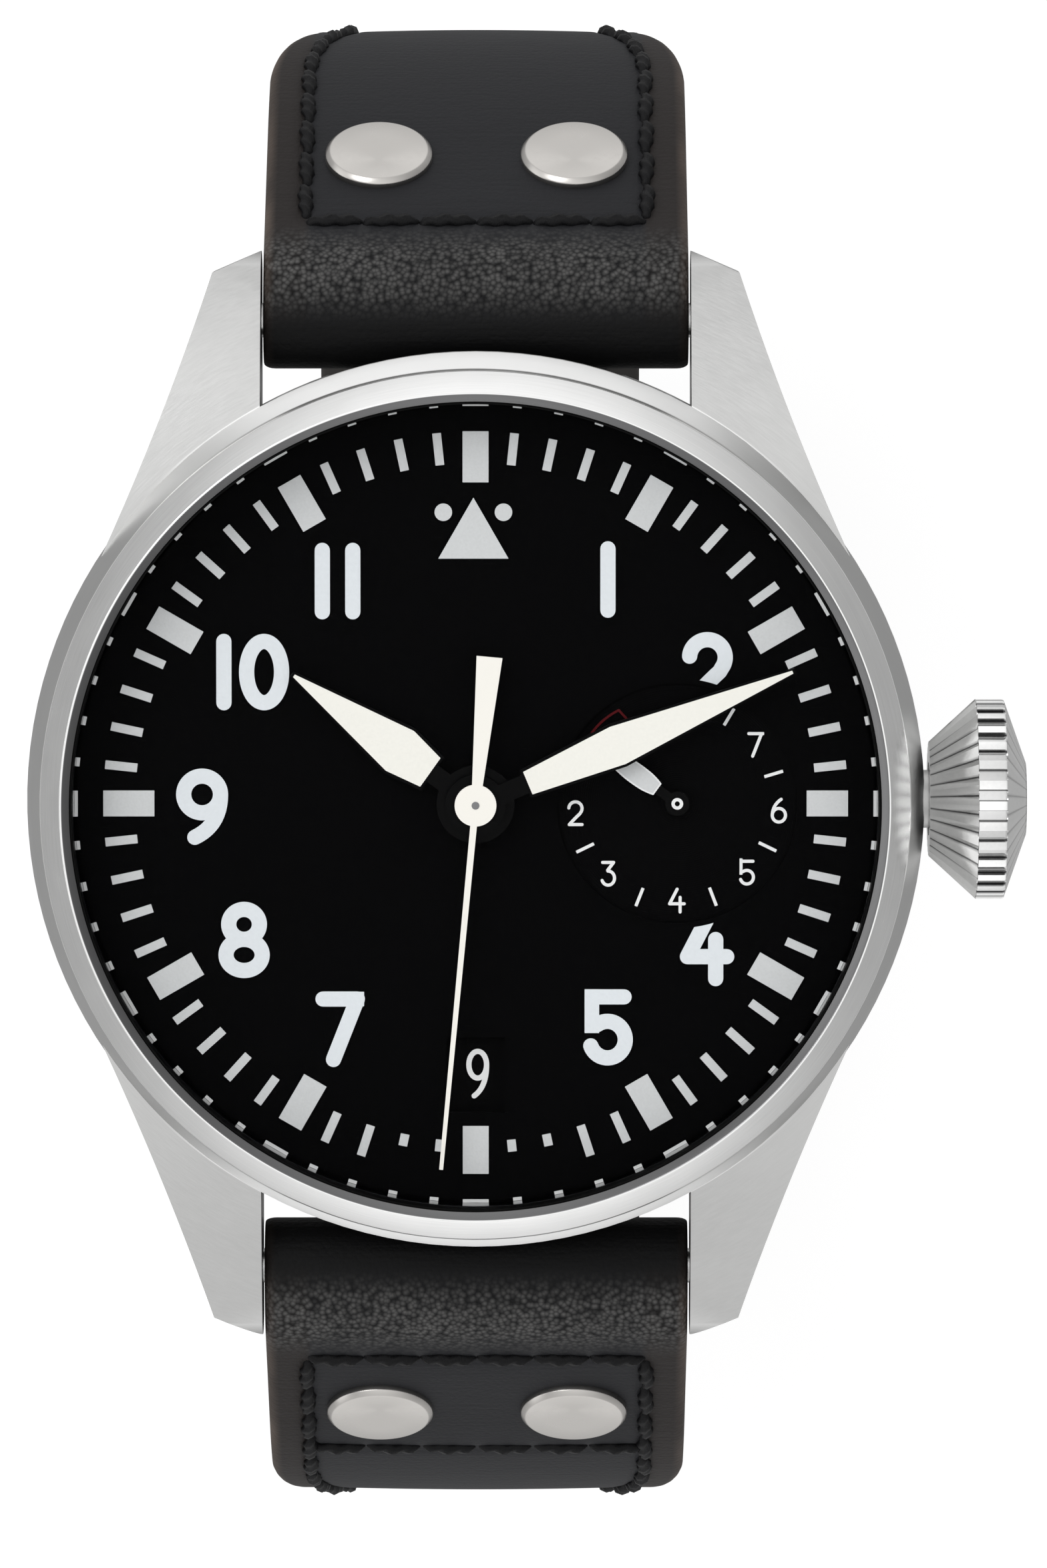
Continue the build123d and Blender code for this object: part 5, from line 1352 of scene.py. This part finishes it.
class Side(Enum):
    """The two straps."""

    TWELVE = "strap_12"
    SIX = "strap_6"

    def placed(self, points: Array) -> Array:
        """Points drawn at 12 o'clock, taken to this strap's side."""
        return points * np.array([1, 1 if self is Side.TWELVE else -1, 1])


def directions(degrees: Array | float) -> Array:
    """Unit vectors (cosine, sine) at angles in degrees."""
    return np.stack([np.cos(np.radians(degrees)), np.sin(np.radians(degrees))], axis=-1)


@dataclass
class StrapPath:
    """The strap from the side, drawn at 12 o'clock: stations with an outer and an inner point each."""

    side: Side
    bar: Pair = (24.6, 57.802)
    roll_radius: float = 2.5
    bend_centre: Pair = (24.6, 55.702)
    bend_radius: float = 4.6
    fall: float = 56.0
    patch_length: float = 9.7
    side_centre: Pair = (6.48, 31.78)
    side_radius: float = 33.0
    hoop_centre: Pair = (9.0, 31.78)
    hoop_radius: float = 30.48
    hoop_end_12: float = -73.47
    hoop_end_6: float = -90.0
    thickness: float = 2.6
    patch_thickness: float = 4.3
    tail_tip: float = -11.0
    tail_rounding: float = 3.0
    lining_thickness: float = 1.0
    lining_start_share: float = 0.25
    half_width: float = 10.98
    half_end_width: float = 9.0
    narrowing: Pair = (43.2, 33.2)

    def __post_init__(self) -> None:
        """Works out the stations."""
        self.outer, self.inner, self.head_count = self.stations()
        self.s = lengths_along(self.outer)
        self.half = self.width_at()
        along = tangents(self.outer)
        self.outward = np.stack([-along[:, 1], along[:, 0]], axis=1)

    def stations(self) -> tuple[Array, Array, int]:
        """The outer line's points, and for each the point of the inner line that faces it.

        Returns:
            Two arrays of (Y, Z) points, and how many of them lie on the roll, the bend and the patch. There
            the inner point runs along a straight line by the same share; below, it lies a thickness inside,
            which falls evenly over the side arc.
        """
        along, normal = directions(-self.fall), directions(90 - self.fall)
        roll = arc(self.bar, (self.roll_radius, self.roll_radius), 270 - self.fall, 90, 22)
        over = arc(self.bend_centre, (self.bend_radius, self.bend_radius), 90, 90 - self.fall, 18)[1:]
        patch = over[-1] + np.linspace(0, self.patch_length, 30)[1:, None] * along
        head = np.concatenate([roll, over, patch])
        share = lengths_along(head)[:, None] / lengths_along(head)[-1]
        head_inner = roll[0] + share * (patch[-1] - self.patch_thickness * normal - roll[0])
        turn = np.linspace(90 - self.fall, 0, 46)[1:]
        aside = directions(turn)
        depth = self.thickness + (self.patch_thickness - self.thickness) * turn[:, None] / (90 - self.fall)
        flank = np.array(self.side_centre) + self.side_radius * aside
        hoop_end = self.hoop_end_12 if self.side is Side.TWELVE else self.hoop_end_6
        below = directions(np.linspace(0, hoop_end, 90)[1:])
        hoop = np.array(self.hoop_centre) + self.hoop_radius * below
        outer = [head, flank, hoop]
        inner = [head_inner, flank - depth * aside, hoop - self.thickness * below]
        if self.side is Side.SIX:
            start = self.tail_tip + self.tail_rounding
            ending = start - self.tail_rounding * np.sin(np.linspace(0, np.pi / 2, 12))[1:]
            y = np.concatenate([np.linspace(hoop[-1, 0], start, 24)[1:], ending])
            outer.append(np.stack([y, np.full_like(y, hoop[-1, 1])], axis=1))
            inner.append(outer[-1] + np.array([0.0, self.thickness]))
        return np.concatenate(outer), np.concatenate(inner), len(head)

    def width_at(self) -> Array:
        """Half the width at each station: full, then full - step (0.28 t + 0.72 t^2), then narrow."""
        y, height = self.outer.T
        t = np.clip((self.narrowing[0] - height) / (self.narrowing[0] - self.narrowing[1]), 0, 1)
        half = self.half_width - (self.half_width - self.half_end_width) * (0.28 * t + 0.72 * t**2)
        if self.side is Side.SIX:
            short = np.clip((self.tail_tip + self.half_end_width - y) / self.half_end_width, 0, 1)
            tail = self.half_end_width * np.sqrt(np.maximum(1 - short**2, 1e-6))
            half = np.where(y < self.hoop_centre[0], tail, half)
        return half


def slab_section(
    half: Array, thick: Array, top: Array, bottom: Array, roundings: Pair
) -> tuple[Array, Array]:
    """A slab's section at each station: a flat top and bottom, joined by quarter circles at its edges.

    Args:
        half: Half the width at each station. This and the next three are columns.
        thick: The thickness there.
        top: Depth of the upper face.
        bottom: Depth of the lower face.
        roundings: Radii of the upper and the lower edges, at most 0.45 of the thickness.

    Returns:
        For each station a row of places across and a row of depths, clockwise from the upper left.
    """
    upper, lower = (np.minimum(np.minimum(radius, 0.45 * thick), half) for radius in roundings)
    side_steps, middle_steps = np.linspace(0.7, 1, 13), np.linspace(-0.7, 0.7, 21)[1:-1]
    flat = np.concatenate([-side_steps[::-1], middle_steps, side_steps])
    quarter = np.radians(np.linspace(0, 90, 6))
    low_flat = np.linspace(1, -1, 13)[1:-1]
    right_x = half - upper + upper * np.sin(quarter[1:])
    right_d = top + upper * (1 - np.cos(quarter[1:]))
    under_x = half - lower + lower * np.cos(quarter[:-1])
    under_d = bottom - lower + lower * np.sin(quarter[:-1])
    corner_x = np.concatenate([right_x, under_x], axis=1)
    corner_d = np.concatenate([right_d, under_d], axis=1)
    low_x = low_flat * (half - lower)
    x = np.concatenate([flat * (half - upper), corner_x, low_x, -corner_x[:, ::-1]], axis=1)
    depth = [top + 0 * flat, corner_d, bottom + 0 * low_flat, corner_d[:, ::-1]]
    return x, np.concatenate(depth, axis=1)


@dataclass
class Strap:
    """One strap: its leather, its lining and its stitches.

    Attributes:
        side: Which strap it is.
        first_seam: How far along the strap its seams start; second_seam is the next one across.
        seam_stop_12: How far before its end the side seams of the strap at 12 stop; seam_stop_6 likewise.
        stitch_bed: How deep a stitch's ends lie; its middle is stitch_lift higher.
        lining_depth: How much deeper a stitch lies in the lining.
        edge_wear: How far from the edges the leather is worn.
        leather_roundings: Radii of the leather's outer and inner edges; lining_roundings likewise.
    """

    side: Side
    seam_inset: float = 2.1
    groove_depth: float = 0.16
    groove_width: float = 0.42
    crown_height: float = 0.12
    first_seam: float = 12.2
    second_seam: float = 22.8
    seam_stop_12: float = 2.4
    seam_stop_6: float = 24.0
    stitch_pitch: float = 2.95
    stitch_length: float = 2.95
    stitch_lean: float = 0.16
    stitch_lift: float = 0.24
    stitch_bed: float = 0.14
    lining_depth: float = 0.12
    thread_radius: float = 0.36
    edge_wear: float = 0.55
    leather_roundings: Pair = (0.6, 0.22)
    lining_roundings: Pair = (0.3, 0.4)

    def __post_init__(self) -> None:
        """Draws the path and says where the seams run."""
        self.path = StrapPath(self.side)
        twelve = self.side is Side.TWELVE
        self.seam_end = self.path.s[-1] - (self.seam_stop_12 if twelve else self.seam_stop_6)
        self.cross_seams = [self.first_seam] if twelve else [self.first_seam, self.second_seam]

    def build(self) -> None:
        """Makes the strap's pieces."""
        self.slab(lining=False)
        self.slab(lining=True)
        self.stitches()

    def sunk(self, s: Array, x: Array, half: Array) -> Array:
        """How deep the outer face lies under its plain surface.

        Args:
            s: Distance along the strap.
            x: Place across it.
            half: Half the strap's width there.

        Returns:
            The sum of a groove, depth * exp(-(distance / width)^2), along each seam, less a soft swell,
            height * (1 - (x / seam)^2), between the side seams.
        """
        seam = half - self.seam_inset
        side_run = np.clip((s - self.first_seam) / 0.5 + 0.5, 0, 1)
        side_run = side_run * np.clip((self.seam_end - s) / 0.5 + 0.5, 0, 1)
        depth = np.exp(-(((np.abs(x) - seam) / self.groove_width) ** 2)) * side_run
        inside = np.clip((seam - np.abs(x)) / 0.4 + 0.5, 0, 1)
        for row in self.cross_seams:
            depth = np.maximum(depth, np.exp(-(((s - row) / self.groove_width) ** 2)) * inside)
        swell = np.clip(1 - (x / np.maximum(seam, 0.1)) ** 2, 0, 1)
        swell = swell * np.clip((s - self.first_seam) / 2, 0, 1)
        return self.groove_depth * depth - self.crown_height * swell

    def slab(self, lining: bool) -> None:
        """Makes a closed leather slab: a rounded oblong section carried along the stations.

        A point of the section is (place across, depth). It becomes outer + depth * inwards, where inwards
        points from a station's outer point to its inner point.

        Args:
            lining: Whether it is the lining, and the outer leather otherwise.
        """
        path = self.path
        run = path.inner - path.outer
        total = np.maximum(np.linalg.norm(run, axis=1), 1e-3)
        inwards = run / total[:, None]
        inwards[0] = inwards[1]
        inner_s = lengths_along(path.inner)
        share = inner_s / inner_s[path.head_count - 1]
        lined = np.clip((share - path.lining_start_share) / 0.02, 0, 1)
        if lining:
            top, bottom, keep = total - path.lining_thickness, total, lined > 0
        else:
            top, bottom, keep = 0 * total, total - path.lining_thickness * lined, total > 0
        half, top, bottom, s = (row[keep, None] for row in (path.half, top, bottom, path.s))
        thick = np.maximum(bottom - top, 1e-3)
        roundings = self.lining_roundings if lining else self.leather_roundings
        x, depth = slab_section(half, thick, top, bottom, roundings)
        if not lining:
            facing = np.clip(1 - (depth - top) / 0.7, 0, 1)
            depth = depth + facing * self.sunk(s, x, half) * np.clip(thick / 1.5, 0, 1)
        place = path.outer[keep][:, None] + depth[..., None] * inwards[keep][:, None]
        surface = np.concatenate([x[..., None], place], axis=-1)
        edge = np.clip(1 - (half - np.abs(x)) / self.edge_wear, 0, 1)
        edge = edge * np.clip(1 - (depth - top) / 1.2, 0, 1)
        first, last = (row.mean(axis=1, keepdims=True) + 0 * row for row in (surface[:1], surface[-1:]))
        closed = self.side.placed(np.concatenate([first, surface, last]))
        name = self.side.value
        shape = Shape(f"{name}_inner" if lining else f"{name}_calf")
        shape.grid(closed, close_v=True, marks=np.pad(edge, ((1, 1), (0, 0))))
        if lining:
            shape.build(PALETTE.lining, name, "lining_leather", f"{name}_lining", 60.0)
        else:
            shape.build(PALETTE.leather, name, "leather_black", f"{name}_leather", 60.0)

    def stitches(self) -> None:
        """Two-ply stitches in every groove, outside and on the lining.

        A stitch runs from t = 0 to 1 with its middle lifted by a flattened sine, leans across the seam, and
        has the section radius * (1 + lobe * cos(2 (angle - twist t))), drawn in at both ends.
        """
        path, pitch = self.path, self.stitch_pitch
        seam_s = np.arange(self.first_seam + 0.4, self.seam_end - pitch, pitch) + pitch / 2
        seam_x = np.interp(seam_s, path.s, path.half) - self.seam_inset
        widest = path.half_width - self.seam_inset
        across = np.arange(-widest + pitch / 2, widest - pitch / 3, pitch)
        across = across - across.mean()
        rows = self.cross_seams
        middle_s = np.concatenate([seam_s, seam_s, np.repeat(rows, len(across))])[:, None]
        middle_x = np.concatenate([seam_x, -seam_x, np.tile(across, len(rows))])[:, None]
        crosswise = np.arange(len(middle_s))[:, None] >= 2 * len(seam_s)
        t = np.linspace(0, 1, 14)
        around = np.radians(np.arange(0, 360, 45))
        lean, forward = (t - 0.5) * self.stitch_lean, (t - 0.5) * self.stitch_length
        s = middle_s + np.where(crosswise, lean, forward)
        follow = np.interp(s, path.s, path.half) - np.interp(middle_s, path.s, path.half)
        x = middle_x + np.where(crosswise, forward, (lean + follow) * np.sign(middle_x))
        lift = np.sin(np.pi * t) ** 0.3 * self.stitch_lift - self.stitch_bed
        pinch = np.sin(np.pi * np.clip(t, 0.02, 0.98)) ** 0.25
        lobes = 1 + 0.24 * np.cos(2 * (around - 3.0 * np.pi * t[:, None]))
        radius = self.thread_radius * pinch[:, None] * lobes
        width, rise = radius * np.cos(around), radius * np.sin(around)
        x = x[..., None] + np.where(crosswise[..., None], 0, width)
        step = np.where(crosswise[..., None], width, 0)
        out_y, out_z = (np.interp(s, path.s, column)[..., None] for column in path.outward.T)
        outer_depth = self.groove_depth * 0.6
        faces = (("outer", path.outer, 1, outer_depth), ("inner", path.inner, -1, self.lining_depth))
        for face, middle, outwards, sunk in faces:
            y, z = (np.interp(s, path.s, column)[..., None] for column in middle.T)
            height = outwards * ((lift - sunk)[:, None] + rise)
            points = [x, y + out_y * height + out_z * step, z + out_z * height - out_y * step]
            points = np.stack(points, axis=-1)
            ends = [end.mean(axis=2, keepdims=True) + 0 * end for end in (points[:, :1], points[:, -1:])]
            shape = Shape(f"{self.side.value}_stitches_{face}")
            for stitch in self.side.placed(np.concatenate([ends[0], points, ends[1]], axis=1)):
                shape.grid(stitch, close_v=True)
            shape.build(PALETTE.thread, self.side.value, "leather_black", sharp=60.0)


@dataclass
class Rivets:
    """The two rivets through one strap's patch."""

    side: Side
    y: float = 32.860
    z: float = 51.684
    fall: float = 56.0
    spacing: float = 10.2
    head_radius: float = 2.8
    head_height: float = 0.6
    bevel: float = 0.24
    shank_radius: float = 1.1
    back_radius: float = 2.1
    back_height: float = 0.5
    depth: float = 4.95

    def build(self) -> None:
        """Turns a rivet's section about its own axis and stands it on the patch, twice."""
        back = -self.depth - self.back_height
        corners = [
            (0.0, back),
            (self.back_radius, back),
            (self.back_radius, -self.depth),
            (self.shank_radius, -self.depth),
            (self.shank_radius, 0.02),
            (self.head_radius, 0.02),
            (self.head_radius, self.head_height - self.bevel),
            (self.head_radius - self.bevel, self.head_height),
            (self.head_radius * 0.5, self.head_height + 0.012),
            (0.0, self.head_height + 0.02),
        ]
        section = softened(corners, 0.05, 3)
        section[:3, 0] = section[-3:, 0] = 0.0
        turn = np.linspace(0, 2 * np.pi, 96, endpoint=False)[:, None]
        across, normal = np.array([1.0, 0.0, 0.0]), np.append(0.0, directions(90 - self.fall))
        ring = np.cos(turn) * across + np.sin(turn) * np.cross(normal, across)
        rivet = section[:, :1, None] * ring + section[:, 1:, None] * normal
        name = self.side.value
        shape = Shape(f"{name}_rivet_pair")
        for x in (-self.spacing / 2, self.spacing / 2):
            shape.grid(self.side.placed(rivet + np.array([x, self.y, self.z])), close_v=True)
        shape.build(PALETTE.rivet_steel, name, "polished_steel", f"{name}_rivets", 24.0)


# What the frame already holds -------------------------------------------------


@dataclass
class CarriedNodes:
    """CAD nodes that stay, each with a better finish, and those that a smooth copy stands for."""

    kept: tuple[tuple[Finish, str], ...] = (
        (PALETTE.dial, "dial"),
        (PALETTE.date_disc, "date_disc"),
        (PALETTE.hand_black, "hour_hand minute_hand reserve_hand"),
        (PALETTE.lume_cream, "hour_lume minute_lume"),
        (PALETTE.hand_white, "seconds_hand"),
        (PALETTE.gasket, "case_back_gasket crown_gasket"),
        (PALETTE.case_steel, "crown_tube"),
        (PALETTE.iron, "magnetic_shield"),
        (PALETTE.dark_steel, "movement_ring"),
        (PALETTE.rhodium, "mainplate barrel_bridge train_bridge balance_cock rotor"),
        (PALETTE.spring_steel, "bridge_screws hairspring mainspring"),
        (PALETTE.ruby, "jewels"),
        (PALETTE.gilt, "balance_wheel barrel great_wheel third_wheel fourth_wheel minute_wheel hour_wheel"),
        (PALETTE.bright_steel, "rotor_bearing date_jumper cannon_pinion escape_wheel pallet_fork"),
        (PALETTE.bright_steel, "winding_pinion winding_stem lug_bar_12 lug_bar_6 strap_12_end_bar"),
        (PALETTE.bright_steel, "clasp_stud clasp_cover_pin clasp_fold_pin"),
    )
    copied: tuple[tuple[str, str, str], ...] = (
        ("clasp_cover", "cover_plate", "strap_6"),
        ("clasp_middle_blade", "middle_blade_plate", "middle_blade"),
        ("clasp_bow", "bow_frame", "bow"),
    )

    def build(self) -> None:
        """Gives each node its finish, or its smooth copy."""
        for finish, nodes in self.kept:
            for node in nodes.split():
                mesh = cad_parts[node].data
                mesh.materials.clear()
                mesh.materials.append(finish.material())
                log.info("%s: kept as packed, %s", node, finish.name)
        for node, name, body in self.copied:
            smooth_copy(node, name, PALETTE.clasp_steel, body, 0.1)


# The studio -------------------------------------------------------------------


@dataclass
class Softbox:
    """A square light that faces the watch."""

    name: str
    place: Triple
    width: float
    height: float
    power: float

    def build(self, target: Vector) -> None:
        """Makes the light and aims it."""
        lamp = bpy.data.lights.new(self.name, "AREA")
        lamp.shape = "RECTANGLE"
        lamp.size, lamp.size_y = self.width * MM, self.height * MM
        lamp.energy = self.power
        holder = bpy.data.objects.new(self.name, lamp)
        holder.location = Vector(self.place) * MM
        holder.rotation_euler = (target - holder.location).to_track_quat("-Z", "Y").to_euler()
        bpy.context.scene.collection.objects.link(holder)


@dataclass
class Sky:
    """Soft light from everywhere: brightest overhead and towards 12 and 6 o'clock, dim towards 3 and 9."""

    everywhere: float = 0.45
    ends: float = 0.9
    overhead: float = 0.9
    left: float = 1.1

    def build(self) -> None:
        """Paints everywhere + ends * y^4 + overhead * (z above the horizon)^3 + left * a low patch at 9."""
        world = bpy.data.worlds.new("studio")
        tree = ShaderTree(world, "Background")
        direction = tree.node("ShaderNodeTexCoord", output="Generated")
        x, y, z = tree.axes(direction)
        low_left = (x * -1.0).above(0.75, 0.2) * z.above(0.0, 0.08) * (1 - z.above(0.5, 0.15))
        upper = z.maths("MAXIMUM", z, 0.0).power(3.0)
        lit = low_left * self.left + y.size().power(4.0) * self.ends + upper * self.overhead
        tree.shade(Color=(1.0, 1.0, 1.0), Strength=lit + self.everywhere)
        bpy.context.scene.world = world


@dataclass
class Studio:
    """The camera above the watch, soft light and a pale floor."""

    target: Triple = (2.455, 0.995, 64.45)
    tilt: float = 4.0
    distance: float = 550.0
    view_height: float = 80.45
    film: float = 36.0
    floor_half: float = 3000.0
    floor_level: float = -11.5
    sky: Sky = field(default_factory=Sky)
    lights: tuple[Softbox, ...] = (Softbox("high_left", (-500.0, 500.0, 900.0), 500.0, 500.0, 3.0),)

    def build(self) -> None:
        """Makes the camera, the lights, the sky and the floor."""
        target = Vector(self.target) * MM
        turn = math.radians(self.tilt)
        back = Vector((0.0, math.sin(turn), math.cos(turn)))
        lens = bpy.data.cameras.new("camera")
        lens.sensor_width = self.film
        lens.lens = self.film * self.distance / self.view_height
        lens.clip_start, lens.clip_end = 0.01, 50.0
        camera = bpy.data.objects.new("camera", lens)
        camera.location = target + back * self.distance * MM
        camera.rotation_euler = (-turn, 0.0, 0.0)
        bpy.context.scene.collection.objects.link(camera)
        bpy.context.scene.camera = camera
        for light in self.lights:
            light.build(target)
        self.sky.build()
        bpy.context.scene.view_settings.view_transform = "Standard"
        self.floor()

    def floor(self) -> None:
        """A flat sheet under the watch, as low as the opened clasp needs."""
        side = np.linspace(-self.floor_half, self.floor_half, 3)
        x, y = np.meshgrid(side, side)
        mesh = bpy.data.meshes.new("studio_floor")
        corners = np.stack([x, y, 0 * x + self.floor_level], axis=-1).reshape(-1, 3) * MM
        mesh.from_pydata(corners, [], quads(np.arange(9).reshape(3, 3)).tolist())
        mesh.materials.append(PALETTE.floor.material())
        sheet = bpy.data.objects.new("studio_floor", mesh)
        bpy.context.scene.collection.objects.link(sheet)
        sheet.visible_glossy = False
        sheet.visible_shadow = False


def main() -> None:
    logging.basicConfig(level=logging.INFO, format="%(name)s %(message)s")
    parts: list[Callable[[], None]] = [
        Studio().build,
        Case().build,
        Crown().build,
        DialPrint().build,
        CarriedNodes().build,
    ]
    for side in Side:
        parts += [Strap(side).build, Rivets(side).build]
    for make in parts:
        make()


if __name__ == "__main__":
    main()
